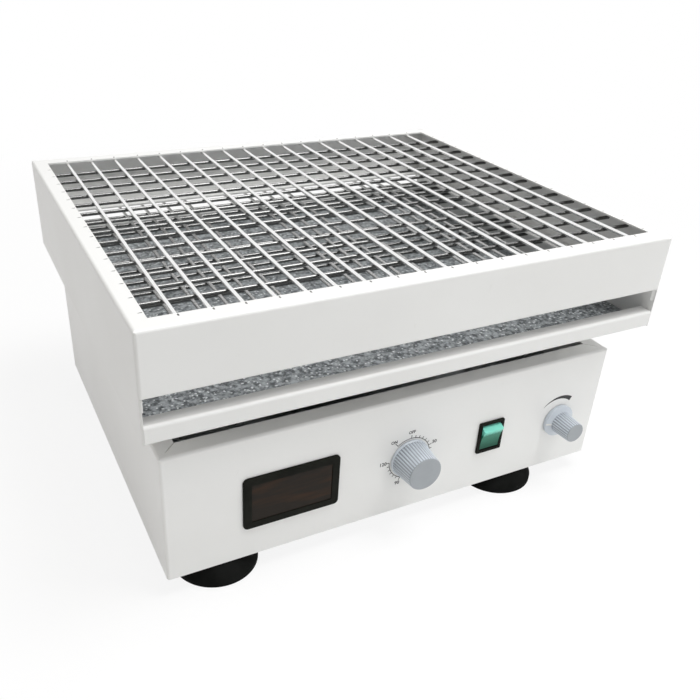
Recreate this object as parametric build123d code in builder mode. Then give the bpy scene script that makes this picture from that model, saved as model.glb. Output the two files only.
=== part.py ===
"""Orbital shaker for the lab bench: a two-level wire tray carried on eccentric cranks.

Millimetres. X runs to the right, Y to the back, Z up. Every piece is drawn about the axis
of the main crank, which is also the middle of the case. save() then moves it into the
model's own frame, whose origin is on the bench under the middle of the whole outline.
"""
from build123d import *
from math import atan2, cos, degrees, radians, sin
import os

# Work tray, outside sizes
tray_width = 450.0
tray_depth = 380.0
tray_sheet = 1.5
tray_bend = 2.4  # outside radius of every fold
tray_corner = 2.6  # outside radius of the upright corners
rim_side = 13.0
rim_front = 15.0
band_height = 49.0  # front and rear bands above the slot
slot_height = 20.0
lip_height = 14.5
band_ledge = 20.0  # inward ledge that the lower grid hangs from
lip_ledge = 12.0
ledge_leg = 12.0
deck_thickness = 1.2
deck_margin = 1.2
weld_gap = 0.02  # faces that are welded together lie this close
corner_slit = 1.0
corner_slit_height = 4.5

# Wire grids
wire_dia = 3.2
long_wire_pitch = 22.75
cross_wire_pitch = 22.8
long_wire_count = 18
cross_wire_count = 15
rear_wire_inset = 37.0
wire_end_gap = 1.5  # from a wire's end to the wall that it stops at
lower_wire_lap = 10.0  # length of a lower wire that lies under the ledge

# Case, outside sizes
case_width = 409.0
case_depth = 347.0
case_height = 112.0
case_sheet = 1.5
case_bend = 2.4
case_corner = 2.6
case_rim = 15.5
case_seam = 0.5  # open mitre seam in the case's rim
pan_edge = 12.0
tray_gap = 22.5  # from the case's rim to the underside of the tray

# Rubber feet
foot_height = 18.0
foot_radius = 34.4
foot_top_radius = 25.0
foot_lip = 5.0
foot_chamfer = 1.0
foot_ring = 9.0  # width of the ring that meets the bench
foot_hollow = 3.0
foot_bore_radius = 9.0
foot_bore_depth = 8.0
foot_left = 158.0  # from the crank's axis to the left-hand feet
foot_right = 120.0
foot_inset = 27.0  # from the case's front or rear face

# Crank geometry
crank_throw = 10.0
rest_phase = 30.0  # degrees from +X
idler_x = 150.0
idler_y = 95.0

# Bearings
main_bore = 10.0
main_outer = 23.5
main_race_width = 14.0
pin_bore = 8.5
pin_outer = 20.0
pin_race_width = 12.0
idler_bore = 6.0
idler_outer = 16.0
idler_race_width = 10.0
inner_race_wall = 3.4
race_gap = 0.3
journal_clearance = 0.05
seat_clearance = 0.02
shoulder = 2.0  # lip that a bearing seats against
collar_wall = 2.4
collar_rise = 2.0

# Bearing housings and the plate that carries them
housing_wall = 6.5
main_flange = 7.0
main_flange_radius = 48.0
main_bolt_circle = 39.0
main_housing_height = 57.0
idler_flange = 6.0
idler_ear_radius = 8.0
idler_ear_reach = 29.0
idler_housing_drop = 22.0  # below the chassis plate
barrel_clearance = 0.4
chassis_thickness = 4.0
chassis_depth = 264.0
chassis_corner = 12.0
rail_leg = 20.0
rail_thickness = 3.0
rail_length = 250.0
rail_bend = 4.0
chassis_bolt_inset = 14.0
chassis_bolt_pitch = 110.0

# Carrier under the tray
carrier_thickness = 4.0
carrier_margin = 36.0  # from an idler's axis to the edge
carrier_corner = 24.0
cup_flange = 4.0
hub_flange_radius = 42.0
hub_bolt_circle = 34.0
cup_ear_reach = 29.0

# Main crank, pulley and counterweight
pin_collar_rise = 13.5
web_thickness = 8.0
web_radius = 30.0
arm_width = 50.0
weight_inner = 45.0
weight_outer = 88.0
weight_height = 11.0
weight_angle = 128.0
weight_bolt_radius = 66.0
weight_bolt_spread = 18.0  # degrees to each side of the arm
pulley_width = 16.0
pulley_radius = 56.0
pulley_rim = 5.0
pulley_cheek = 1.5
pulley_cheek_rise = 2.5
pulley_web = 6.0
pulley_hub = 17.0
pulley_hole_count = 5
pulley_hole_radius = 9.0
pulley_hole_circle = 34.0

# Idler cranks
idler_collar_rise = 10.5
idler_web = 8.0
idler_web_radius = 20.0

# Motor and belt
motor_y = 95.0
motor_radius = 40.0
motor_length = 58.0
motor_bell = 10.0
motor_bell_step = 1.5
motor_edge = 3.0
motor_boss_radius = 11.0
motor_boss_rise = 2.5
motor_shaft_radius = 4.0
motor_shaft_depth = 30.0
motor_shaft_top_gap = 1.0  # under the counterweight's arm
motor_pulley_bottom_gap = 1.0
motor_bolt_circle = 30.0
motor_pulley_radius = 14.0
belt_thickness = 2.0
belt_clearance = 0.3
belt_edge_gap = 0.5

# Screws
screw_radius = 2.5
screw_hole_clearance = 0.25
screw_head_radius = 4.5
screw_head = 3.0
screw_tail = 3.0  # length that stands out beyond the clamped parts
motor_screw_bite = 8.0

# Display, placed from the case's middle and from its lower edge
display_x = -104.0
display_z = 52.0
display_width = 80.5
display_height = 48.0
display_corner = 4.0
display_stand = 2.2
display_border = 6.5
display_wall = 2.0
display_reach = 17.0
window_thickness = 1.5
window_set_back = 0.7
board_sheet = 1.6
digit_count = 4
digit_width = 12.0
digit_height = 19.0
digit_depth = 7.0
digit_pitch = 14.0

# Mechanical timer
timer_x = 2.0
timer_z = 52.3
timer_body_size = 42.0
timer_body_depth = 32.0
timer_corner = 3.0
bush_radius = 5.0
bush_rise = 4.0
shaft_radius = 3.0
shaft_depth = 12.0
pot_shaft_depth = 6.0
timer_knob_length = 24.0
timer_ring_radius = 17.8
timer_ring_height = 2.2
timer_barrel_radius = 16.6
timer_face_radius = 15.0
timer_ribs = 40
timer_rib_width = 1.2
timer_rib_height = 0.6

# Speed control
speed_x = 160.0
speed_z = 48.0
speed_body_radius = 12.0
speed_body_depth = 10.0
speed_knob_length = 24.0
speed_skirt_radius = 15.4
speed_skirt_height = 5.0
speed_barrel_radius = 9.8
speed_face_radius = 9.1
speed_ribs = 26
speed_rib_width = 1.1
speed_rib_height = 0.5

# What both knobs share
knob_gap = 0.5
knob_wall = 2.2
knob_hollow = 8.0
knob_boss_wall = 3.0
cap_thickness = 1.2
cap_margin = 0.3
cap_sink = 0.6
nut_radius = 8.0
nut_height = 2.2
panel_hole_clearance = 0.3

# Power switch
switch_x = 83.6
switch_z = 51.6
switch_width = 25.5
switch_height = 31.0
switch_corner = 1.0
switch_stand = 2.0
switch_border = 2.6
switch_wall = 0.7
switch_reach = 20.0
switch_well = 10.5
rocker_clearance = 0.35
rocker_tilt = 12.5
rocker_pivot_depth = 3.0
rocker_reach = 7.0  # from the pivot to the rocker's outer edges
rocker_half = 12.0
rocker_edge_half = 10.3
rocker_dish = 1.4
rocker_root = 3.4
rocker_root_half = 8.0
rocker_pin_radius = 1.5
rocker_pin_length = 0.9
terminal_width = 6.3
terminal_thickness = 0.8
terminal_length = 8.0
terminal_pitch = 12.0

# Rear panel and electrics
inlet_x = -150.0
inlet_z = 45.0
inlet_width = 27.5
inlet_height = 31.0
inlet_flange_overlap = 1.6
inlet_stand = 2.0
inlet_reach = 26.0
socket_width = 24.0
socket_height = 16.5
socket_depth = 16.0
socket_rise = 5.0
socket_pin_set_back = 5.0
socket_pin_width = 4.0
socket_pin_thickness = 2.0
socket_pin_pitch = 7.0
fuse_height = 7.0
fuse_drop = -10.0
fuse_rise = 1.2
control_board_x = -128.0
control_board_y = -35.0
control_board_width = 92.0
control_board_depth = 66.0
standoff_radius = 4.0
standoff_height = 8.0
standoff_inset = 6.0
transformer = (34.0, 30.0, 26.0)
capacitor_radius = 7.0
capacitor_height = 22.0
heat_sink = (30.0, 12.0, 20.0)

# Places that follow from the sizes
tray_x = crank_throw * cos(radians(rest_phase))
tray_y = crank_throw * sin(radians(rest_phase))
case_bottom = foot_height
case_top = case_bottom + case_height
tray_bottom = case_top + tray_gap
lip_top = lip_height
slot_top = lip_height + slot_height
tray_height = slot_top + band_height
wire_radius = wire_dia / 2
front_face = -case_depth / 2
rear_face = case_depth / 2
inside_width = case_width - 2 * case_sheet - 2 * weld_gap
inside_depth = case_depth - 2 * case_sheet - 2 * weld_gap
carrier_bottom = tray_bottom - carrier_thickness
hub_bottom = carrier_bottom - shoulder - pin_race_width
cup_bottom = carrier_bottom - shoulder - idler_race_width
web_top = hub_bottom - pin_collar_rise
web_bottom = web_top - web_thickness
pulley_bottom = web_bottom - pulley_width
main_housing_top = pulley_bottom - collar_rise
main_housing_bottom = main_housing_top - main_housing_height
chassis_top = main_housing_top - main_flange
chassis_bottom = chassis_top - chassis_thickness
idler_web_top = cup_bottom - idler_collar_rise
idler_web_bottom = idler_web_top - idler_web
idler_housing_top = idler_web_bottom - collar_rise
idler_housing_bottom = chassis_bottom - idler_housing_drop
belt_bottom = pulley_bottom + pulley_cheek + belt_edge_gap
belt_width = pulley_width - 2 * pulley_cheek - 2 * belt_edge_gap
idler_places = [(sx * idler_x, sy * idler_y) for sy in (-1, 1) for sx in (-1, 1)]
screw_hole = screw_radius + screw_hole_clearance

# The middle of the whole outline on the bench, which becomes the origin
front_reach = case_depth / 2 + knob_gap + max(timer_knob_length, speed_knob_length)
rear_reach = tray_y + tray_depth / 2
outline_middle = (tray_x, (rear_reach - front_reach) / 2)

# Views that profiles are drawn on: their X runs to the back or to the right, their Y up
tray_side_view = Plane(origin=(tray_x, tray_y, tray_bottom), x_dir=(0, 1, 0), z_dir=(1, 0, 0))
tray_end_view = Plane(origin=(tray_x, tray_y, tray_bottom), x_dir=(1, 0, 0), z_dir=(0, -1, 0))
case_side_view = Plane(origin=(0, 0, case_bottom), x_dir=(0, 1, 0), z_dir=(1, 0, 0))
case_end_view = Plane(origin=(0, 0, case_bottom), x_dir=(1, 0, 0), z_dir=(0, -1, 0))

os.makedirs("parts", exist_ok=True)


def save(piece, name):
    """Move a finished piece into the model's frame, label it and write it as a STEP file."""
    placed = piece.part.moved(Location((-outline_middle[0], -outline_middle[1], 0)))
    placed.label = name
    export_step(placed, f"parts/{name}.step")


def level(height, x=0.0, y=0.0):
    """Horizontal sketch plane at a height above the bench."""
    return Plane((x, y, height))


def tray_level(height):
    """Horizontal sketch plane in the middle of the tray, above its underside."""
    return level(tray_bottom + height, tray_x, tray_y)


def panel_plane(x, z, out=0.0):
    """Sketch plane on the front panel, moved out towards the user; its Y is up."""
    return Plane(origin=(x, front_face - out, case_bottom + z), x_dir=(1, 0, 0), z_dir=(0, -1, 0))


def turned(outline, x=0.0, y=0.0):
    """Solid of revolution about an upright axis; the outline holds (radius, height) points."""
    with BuildPart() as blank:
        with BuildSketch(Plane(origin=(x, y, 0), x_dir=(1, 0, 0), z_dir=(0, -1, 0))):
            with BuildLine():
                Polyline(*outline, close=True)
            make_face()
        revolve(axis=Axis((x, y, 0), (0, 0, 1)))
    return blank.part


def turned_on_panel(outline, x, z):
    """Solid of revolution about an axis square to the front panel.

    The outline holds (radius, distance) points; the distance grows towards the user.
    """
    place = (x, front_face, case_bottom + z)
    with BuildPart() as blank:
        with BuildSketch(Plane(origin=place, x_dir=(1, 0, 0), z_dir=(0, 0, -1))):
            with BuildLine():
                Polyline(*outline, close=True)
            make_face()
        revolve(axis=Axis(place, (0, -1, 0)))
    return blank.part


def ring(inner, outer, bottom, top, x=0.0, y=0.0):
    """Plain ring about an upright axis."""
    return turned([(inner, bottom), (outer, bottom), (outer, top), (inner, top)], x, y)


def folded_strip(view, points, thickness, bend, half_length):
    """Folded sheet of constant thickness; the points lie on its middle surface."""
    with BuildPart() as strip:
        with BuildSketch(view):
            with BuildLine():
                FilletPolyline(*points, radius=bend - thickness / 2)
            trace(line_width=thickness)
        extrude(amount=half_length, both=True)
    return strip.part


def mitre_plane(middle, size, side, end, run, gap):
    """Upright plane from an outer corner to the inner corner of a rim.

    run holds the rim's width at the side and at the front. The normal points into the
    front or rear piece, and half the gap lies on either side of the mitre itself.
    """
    normal = Vector(-side * run[1], end * run[0], 0).normalized()
    corner = Vector(middle[0] + side * size[0] / 2, middle[1] + end * size[1] / 2, 0)
    return Plane(origin=corner + normal * (gap / 2), z_dir=normal)


# Wire tray
tray_middle = (tray_x, tray_y)
tray_size = (tray_width, tray_depth)
tray_run = (rim_side, rim_front)


def tray_band(end):
    """Band above the slot, folded into the rim at the top and the grid's ledge below."""
    middle = tray_sheet / 2
    face = end * (tray_depth / 2 - middle)
    points = [
        (end * (tray_depth / 2 - rim_front), tray_height - middle),
        (face, tray_height - middle),
        (face, slot_top + middle),
        (end * (tray_depth / 2 - band_ledge), slot_top + middle),
    ]
    strip = folded_strip(tray_side_view, points, tray_sheet, tray_bend, tray_width / 2)
    with BuildPart() as band:
        add(strip)
        for side in (-1, 1):
            cut = mitre_plane(tray_middle, tray_size, side, end, tray_run, weld_gap)
            split(bisect_by=cut, keep=Keep.TOP)
        with BuildSketch(tray_level(0)):
            RectangleRounded(tray_width, tray_depth, tray_corner)
        extrude(amount=tray_height, mode=Mode.INTERSECT)
        with BuildSketch(tray_level(tray_height - tray_bend - corner_slit_height)):
            with GridLocations(tray_width, tray_depth, 2, 2):
                Circle(corner_slit)
        extrude(amount=corner_slit_height, mode=Mode.SUBTRACT)
    return band


front_band = tray_band(-1)
save(front_band, "front_band")
rear_band = tray_band(1)
save(rear_band, "rear_band")


def tray_side_panel(side):
    """Full-height side with its rim; the bands meet it in mitres above the slot."""
    middle = tray_sheet / 2
    wall = side * (tray_width / 2 - middle)
    points = [
        (side * (tray_width / 2 - rim_side), tray_height - middle),
        (wall, tray_height - middle),
        (wall, 0.0),
    ]
    strip = folded_strip(tray_end_view, points, tray_sheet, tray_bend, tray_depth / 2)
    with BuildPart() as panel:
        add(strip)
        for end in (-1, 1):
            corner = (side * tray_width / 2, end * tray_depth / 2)
            inner = (corner[0] - side * 2 * rim_side, corner[1] - end * 2 * rim_front)
            with BuildSketch(tray_level(slot_top - weld_gap)):
                with BuildLine():
                    Polyline(corner, (inner[0], corner[1]), inner, close=True)
                make_face()
            extrude(amount=band_height + 2 * weld_gap, mode=Mode.SUBTRACT)
        with BuildSketch(tray_level(0)):
            RectangleRounded(tray_width, tray_depth, tray_corner)
        extrude(amount=tray_height, mode=Mode.INTERSECT)
        with BuildSketch(tray_level(tray_height - tray_bend - corner_slit_height)):
            with GridLocations(tray_width, tray_depth, 2, 2):
                Circle(corner_slit)
        extrude(amount=corner_slit_height, mode=Mode.SUBTRACT)
    return panel


left_side_panel = tray_side_panel(-1)
save(left_side_panel, "left_side_panel")
right_side_panel = tray_side_panel(1)
save(right_side_panel, "right_side_panel")


def grid_ledge(side):
    """Angle along one side of the tray; its leg is welded to the wall."""
    middle = tray_sheet / 2
    leg = side * (tray_width / 2 - tray_sheet - weld_gap - middle)
    points = [
        (leg, slot_top + tray_sheet - ledge_leg),
        (leg, slot_top + middle),
        (side * (tray_width / 2 - band_ledge), slot_top + middle),
    ]
    strip = folded_strip(tray_end_view, points, tray_sheet, tray_bend, tray_depth / 2)
    with BuildPart() as ledge:
        add(strip)
        for end in (-1, 1):
            cut = mitre_plane(tray_middle, tray_size, side, end, tray_run, -weld_gap)
            split(bisect_by=cut, keep=Keep.BOTTOM)
    return ledge.part


with BuildPart() as grid_ledges:
    for side in (-1, 1):
        add(grid_ledge(side))
save(grid_ledges, "grid_ledges")

# Lower pan: the bottom and both lips are one folded sheet between the side panels
lip_face = tray_depth / 2 - tray_sheet / 2
lip_end = tray_depth / 2 - lip_ledge
lip_edge = lip_top - tray_sheet / 2
pan_points = [
    (-lip_end, lip_edge),
    (-lip_face, lip_edge),
    (-lip_face, tray_sheet / 2),
    (lip_face, tray_sheet / 2),
    (lip_face, lip_edge),
    (lip_end, lip_edge),
]
with BuildPart() as lower_pan:
    add(
        folded_strip(
            tray_side_view,
            pan_points,
            tray_sheet,
            tray_bend,
            tray_width / 2 - tray_sheet - weld_gap,
        )
    )
save(lower_pan, "lower_pan")

with BuildPart() as deck_sheet:
    with BuildSketch(tray_level(tray_sheet)):
        inset = 2 * (tray_sheet + deck_margin)
        Rectangle(tray_width - inset, tray_depth - inset)
    extrude(amount=deck_thickness)
save(deck_sheet, "deck_sheet")


def wire_grid(top, long_half, cross_half):
    """Grid of straight wires; the long ones run to the back and lie on the cross ones."""
    long_level = top - weld_gap - wire_radius
    cross_level = long_level - wire_dia - weld_gap
    cross_middle = tray_depth / 2 - rear_wire_inset - cross_wire_pitch * (cross_wire_count - 1) / 2
    with BuildPart() as grid:
        with BuildSketch(tray_end_view):
            with Locations((0, long_level)):
                with GridLocations(long_wire_pitch, 1, long_wire_count, 1):
                    Circle(wire_radius)
        extrude(amount=long_half, both=True)
        with BuildSketch(tray_side_view):
            with Locations((cross_middle, cross_level)):
                with GridLocations(cross_wire_pitch, 1, cross_wire_count, 1):
                    Circle(wire_radius)
        extrude(amount=cross_half, both=True)
    return grid


wall_stop = tray_sheet + wire_end_gap
ledge_stop = band_ledge - lower_wire_lap
upper_grid = wire_grid(
    tray_height - tray_sheet, tray_depth / 2 - wall_stop, tray_width / 2 - wall_stop
)
save(upper_grid, "upper_grid")
lower_grid = wire_grid(slot_top, tray_depth / 2 - ledge_stop, tray_width / 2 - ledge_stop)
save(lower_grid, "lower_grid")

# Case
case_middle = (0.0, 0.0)
case_size = (case_width, case_depth)
case_run = (case_rim, case_rim)


def case_wall(strip, keep, gap, sides, ends):
    """Folded wall with mitred ends, open seams in its rim and rounded upright corners."""
    with BuildPart() as wall:
        add(strip)
        for side in sides:
            for end in ends:
                cut = mitre_plane(case_middle, case_size, side, end, case_run, gap)
                split(bisect_by=cut, keep=keep)
        with BuildSketch(level(case_bottom)):
            RectangleRounded(case_width, case_depth, case_corner)
        extrude(amount=case_height, mode=Mode.INTERSECT)
        with BuildSketch(level(case_top - 2 * case_sheet)):
            for side in (-1, 1):
                for end in (-1, 1):
                    seam_x = side * (case_width / 2 - case_rim - case_bend)
                    seam_y = end * (case_depth / 2 - case_rim - case_bend)
                    with Locations((seam_x, seam_y)):
                        Rectangle(2 * case_rim, case_seam, rotation=45 * side * end)
        extrude(amount=2 * case_sheet, mode=Mode.SUBTRACT)
    return wall.part


def case_profile(half_size, side):
    """Middle line of a case wall and its rim, in a view along the wall."""
    middle = case_sheet / 2
    return [
        (side * (half_size - case_rim), case_height - middle),
        (side * (half_size - middle), case_height - middle),
        (side * (half_size - middle), 0.0),
    ]


switch_body = (
    switch_width - 2 * (switch_border - switch_wall),
    switch_height - 2 * (switch_border - switch_wall),
)
display_body = (display_width - 2 * 3.0, display_height - 2 * 3.0)
inlet_body = (inlet_width - 2 * inlet_flange_overlap, inlet_height - 2 * inlet_flange_overlap)

with BuildPart() as front_panel:
    profile = case_profile(case_depth / 2, -1)
    strip = folded_strip(case_side_view, profile, case_sheet, case_bend, case_width / 2)
    add(case_wall(strip, Keep.TOP, weld_gap, (-1, 1), (-1,)))
    with BuildSketch(panel_plane(0, 0)):
        with Locations((display_x, display_z)):
            Rectangle(
                display_body[0] + 2 * panel_hole_clearance,
                display_body[1] + 2 * panel_hole_clearance,
            )
        with Locations((switch_x, switch_z)):
            Rectangle(
                switch_body[0] + 2 * panel_hole_clearance,
                switch_body[1] + 2 * panel_hole_clearance,
            )
        with Locations((timer_x, timer_z), (speed_x, speed_z)):
            Circle(bush_radius + panel_hole_clearance)
    extrude(amount=-2 * case_sheet, mode=Mode.SUBTRACT)
save(front_panel, "front_panel")


def inlet_plane(height, out=0.0):
    """Sketch plane on the rear panel, moved out to the back; its Y is up."""
    place = (inlet_x, rear_face + out, case_bottom + inlet_z + height)
    return Plane(origin=place, x_dir=(-1, 0, 0), z_dir=(0, 1, 0))


with BuildPart() as rear_panel:
    profile = case_profile(case_depth / 2, 1)
    strip = folded_strip(case_side_view, profile, case_sheet, case_bend, case_width / 2)
    add(case_wall(strip, Keep.TOP, weld_gap, (-1, 1), (1,)))
    with BuildSketch(inlet_plane(0)):
        Rectangle(
            inlet_body[0] + 2 * panel_hole_clearance, inlet_body[1] + 2 * panel_hole_clearance
        )
    extrude(amount=-2 * case_sheet, mode=Mode.SUBTRACT)
save(rear_panel, "rear_panel")


def case_side_panel(side):
    """Plain side wall of the case with its rim."""
    profile = case_profile(case_width / 2, side)
    with BuildPart() as panel:
        strip = folded_strip(case_end_view, profile, case_sheet, case_bend, case_depth / 2)
        add(case_wall(strip, Keep.BOTTOM, -weld_gap, (side,), (-1, 1)))
    return panel


left_panel = case_side_panel(-1)
save(left_panel, "left_panel")
right_panel = case_side_panel(1)
save(right_panel, "right_panel")

foot_places = [
    (foot_x, end * (case_depth / 2 - foot_inset)) for end in (-1, 1) for foot_x in (-foot_left, foot_right)
]
with BuildPart() as bottom_pan:
    with BuildSketch(level(case_bottom)):
        RectangleRounded(inside_width, inside_depth, case_bend)
    extrude(amount=pan_edge)
    offset(amount=-case_sheet, openings=bottom_pan.faces().sort_by(Axis.Z)[-1])
    with Locations(*[(x, y, case_bottom) for x, y in foot_places]):
        Cylinder(screw_hole, 4 * case_sheet, mode=Mode.SUBTRACT)
save(bottom_pan, "bottom_pan")


def rubber_foot(x, y):
    """Bell-shaped foot with a contact ring below and a well for its screw's head."""
    well_top = foot_hollow + foot_bore_depth
    with BuildPart() as foot:
        with BuildSketch(Plane(origin=(x, y, 0), x_dir=(1, 0, 0), z_dir=(0, -1, 0))):
            with BuildLine():
                Polyline(
                    (foot_top_radius, foot_height),
                    (screw_hole, foot_height),
                    (screw_hole, well_top),
                    (foot_bore_radius, well_top),
                    (foot_bore_radius, foot_hollow),
                    (foot_radius - foot_chamfer - foot_ring, foot_hollow),
                    (foot_radius - foot_chamfer - foot_ring, 0),
                    (foot_radius - foot_chamfer, 0),
                    (foot_radius, foot_chamfer),
                    (foot_radius, foot_lip),
                )
                RadiusArc(
                    (foot_radius, foot_lip), (foot_top_radius, foot_height), -2 * foot_height
                )
            make_face()
        revolve(axis=Axis((x, y, 0), (0, 0, 1)))
    return foot


foot_names = ["foot_front_left", "foot_front_right", "foot_rear_left", "foot_rear_right"]
for (foot_x, foot_y), foot_name in zip(foot_places, foot_names):
    save(rubber_foot(foot_x, foot_y), foot_name)

# Chassis plate, its rails and the bearing housings
chassis_bolts = [
    (side * (inside_width / 2 - chassis_bolt_inset), y)
    for side in (-1, 1)
    for y in (-chassis_bolt_pitch, chassis_bolt_pitch)
]
main_bolts = [
    (main_bolt_circle * cos(radians(a)), main_bolt_circle * sin(radians(a)))
    for a in (45, 135, 225, 315)
]
idler_bolts = [(x + ear * idler_ear_reach, y) for x, y in idler_places for ear in (-1, 1)]
motor_bolts = [(ear * motor_bolt_circle, motor_y) for ear in (-1, 1)]
main_barrel = main_outer + housing_wall
idler_barrel = idler_outer + housing_wall

with BuildPart() as chassis_plate:
    with BuildSketch(level(chassis_bottom)):
        RectangleRounded(inside_width, chassis_depth, chassis_corner)
        Circle(main_barrel + barrel_clearance, mode=Mode.SUBTRACT)
        with Locations(*idler_places):
            Circle(idler_barrel + barrel_clearance, mode=Mode.SUBTRACT)
        with Locations((0, motor_y)):
            Circle(motor_boss_radius + barrel_clearance, mode=Mode.SUBTRACT)
        with Locations(*(chassis_bolts + main_bolts + idler_bolts + motor_bolts)):
            Circle(screw_hole, mode=Mode.SUBTRACT)
    extrude(amount=chassis_thickness)
save(chassis_plate, "chassis_plate")

with BuildPart() as chassis_rails:
    for side in (-1, 1):
        outer = side * inside_width / 2
        leg = outer - side * rail_thickness / 2
        shelf = chassis_bottom - case_bottom - rail_thickness / 2
        rail_points = [
            (leg, shelf + rail_thickness / 2 - rail_leg),
            (leg, shelf),
            (outer - side * rail_leg, shelf),
        ]
        add(folded_strip(case_end_view, rail_points, rail_thickness, rail_bend, rail_length / 2))
    with Locations(*[(x, y, chassis_bottom) for x, y in chassis_bolts]):
        Cylinder(screw_hole, 4 * rail_thickness, mode=Mode.SUBTRACT)
save(chassis_rails, "chassis_rails")

with BuildPart() as main_bearing_housing:
    seat = main_outer + seat_clearance
    lip = main_outer - shoulder
    housing_outline = [
        (main_barrel, main_housing_bottom),
        (main_barrel, chassis_top),
        (main_flange_radius, chassis_top),
        (main_flange_radius, main_housing_top),
        (seat, main_housing_top),
        (seat, main_housing_top - main_race_width),
        (lip, main_housing_top - main_race_width),
        (lip, main_housing_bottom + main_race_width),
        (seat, main_housing_bottom + main_race_width),
        (seat, main_housing_bottom),
    ]
    add(turned(housing_outline))
    with Locations(*[(x, y, main_housing_top) for x, y in main_bolts]):
        Cylinder(screw_hole, 4 * main_flange, mode=Mode.SUBTRACT)
save(main_bearing_housing, "main_bearing_housing")


def two_ear_flange(x, y, radius, ear_reach, bottom, thickness):
    """Oval flange with an ear and a bolt hole on either side."""
    with BuildPart() as flange:
        with BuildSketch(level(bottom, x, y)):
            with BuildLine():
                CenterArc((0, 0), radius, 0, 360)
                CenterArc((-ear_reach, 0), idler_ear_radius, 0, 360)
                CenterArc((ear_reach, 0), idler_ear_radius, 0, 360)
            make_hull()
            with GridLocations(2 * ear_reach, 1, 2, 1):
                Circle(screw_hole, mode=Mode.SUBTRACT)
        extrude(amount=thickness)
    return flange.part


def idler_housing(x, y):
    """Barrel through the chassis plate with a bearing seat at either end."""
    seat = idler_outer + seat_clearance
    lip = idler_outer - shoulder
    upper_seat = idler_housing_top - idler_race_width
    lower_seat = idler_housing_bottom + idler_race_width
    with BuildPart() as housing:
        add(two_ear_flange(x, y, idler_barrel, idler_ear_reach, chassis_top, idler_flange))
        with Locations((x, y, idler_housing_bottom)):
            Cylinder(
                idler_barrel,
                idler_housing_top - idler_housing_bottom,
                align=(Align.CENTER, Align.CENTER, Align.MIN),
            )
        add(
            turned(
                [
                    (0, idler_housing_bottom - 1),
                    (seat, idler_housing_bottom - 1),
                    (seat, lower_seat),
                    (lip, lower_seat),
                    (lip, upper_seat),
                    (seat, upper_seat),
                    (seat, idler_housing_top + 1),
                    (0, idler_housing_top + 1),
                ],
                x,
                y,
            ),
            mode=Mode.SUBTRACT,
        )
    return housing.part


with BuildPart() as idler_bearing_housings:
    for x, y in idler_places:
        add(idler_housing(x, y))
save(idler_bearing_housings, "idler_bearing_housings")

main_race_levels = [main_housing_bottom, main_housing_top - main_race_width]
idler_race_levels = [idler_housing_bottom, idler_housing_top - idler_race_width]
with BuildPart() as main_outer_races:
    for bottom in main_race_levels:
        inner = main_bore + inner_race_wall + race_gap
        add(ring(inner, main_outer, bottom, bottom + main_race_width))
save(main_outer_races, "main_outer_races")

with BuildPart() as idler_bearings:
    for x, y in idler_places:
        for bottom in idler_race_levels:
            inner = idler_bore + journal_clearance
            add(ring(inner, idler_outer, bottom, bottom + idler_race_width, x, y))
save(idler_bearings, "idler_bearings")

# Main crank: the shaft, its web with the counterweight's arm, and the offset pin
weight_side = rest_phase + 180
weight_bolts = [
    (weight_bolt_radius * cos(radians(a)), weight_bolt_radius * sin(radians(a)))
    for a in (weight_side - weight_bolt_spread, weight_side + weight_bolt_spread)
]
pin_top = hub_bottom + pin_race_width
with BuildPart() as eccentric_shaft:
    add(ring(0, main_bore, main_housing_bottom, web_bottom))
    with BuildSketch(Plane((0, 0, web_bottom)).rotated((0, 0, weight_side))):
        Circle(web_radius)
        Rectangle(weight_outer, arm_width, align=(Align.MIN, Align.CENTER))
    extrude(amount=web_thickness)
    with BuildSketch(level(web_bottom)):
        with Locations(*weight_bolts):
            Circle(screw_hole)
    extrude(amount=web_thickness, mode=Mode.SUBTRACT)
    add(ring(0, pin_bore + collar_wall, web_top, hub_bottom, tray_x, tray_y))
    add(ring(0, pin_bore, hub_bottom, pin_top, tray_x, tray_y))
save(eccentric_shaft, "eccentric_shaft")

with BuildPart() as main_inner_races:
    for bottom in main_race_levels:
        inner = main_bore + seat_clearance
        add(ring(inner, main_bore + inner_race_wall, bottom, bottom + main_race_width))
    add(
        ring(
            pin_bore + seat_clearance, pin_bore + inner_race_wall, hub_bottom, pin_top, tray_x, tray_y
        )
    )
save(main_inner_races, "main_inner_races")

with BuildPart() as main_pulley:
    pulley_top = pulley_bottom + pulley_width
    cheek = pulley_radius + pulley_cheek_rise
    web_gap = (pulley_width - pulley_web) / 2
    pulley_outline = [
        (main_bore + seat_clearance, pulley_bottom),
        (pulley_hub, pulley_bottom),
        (pulley_hub, pulley_bottom + web_gap),
        (pulley_radius - pulley_rim, pulley_bottom + web_gap),
        (pulley_radius - pulley_rim, pulley_bottom),
        (cheek, pulley_bottom),
        (cheek, pulley_bottom + pulley_cheek),
        (pulley_radius, pulley_bottom + pulley_cheek),
        (pulley_radius, pulley_top - pulley_cheek),
        (cheek, pulley_top - pulley_cheek),
        (cheek, pulley_top),
        (pulley_radius - pulley_rim, pulley_top),
        (pulley_radius - pulley_rim, pulley_top - web_gap),
        (pulley_hub, pulley_top - web_gap),
        (pulley_hub, pulley_top),
        (main_bore + seat_clearance, pulley_top),
    ]
    add(turned(pulley_outline))
    with BuildSketch(level(pulley_bottom)):
        with PolarLocations(pulley_hole_circle, pulley_hole_count):
            Circle(pulley_hole_radius)
    extrude(amount=pulley_width, mode=Mode.SUBTRACT)
save(main_pulley, "main_pulley")

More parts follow.
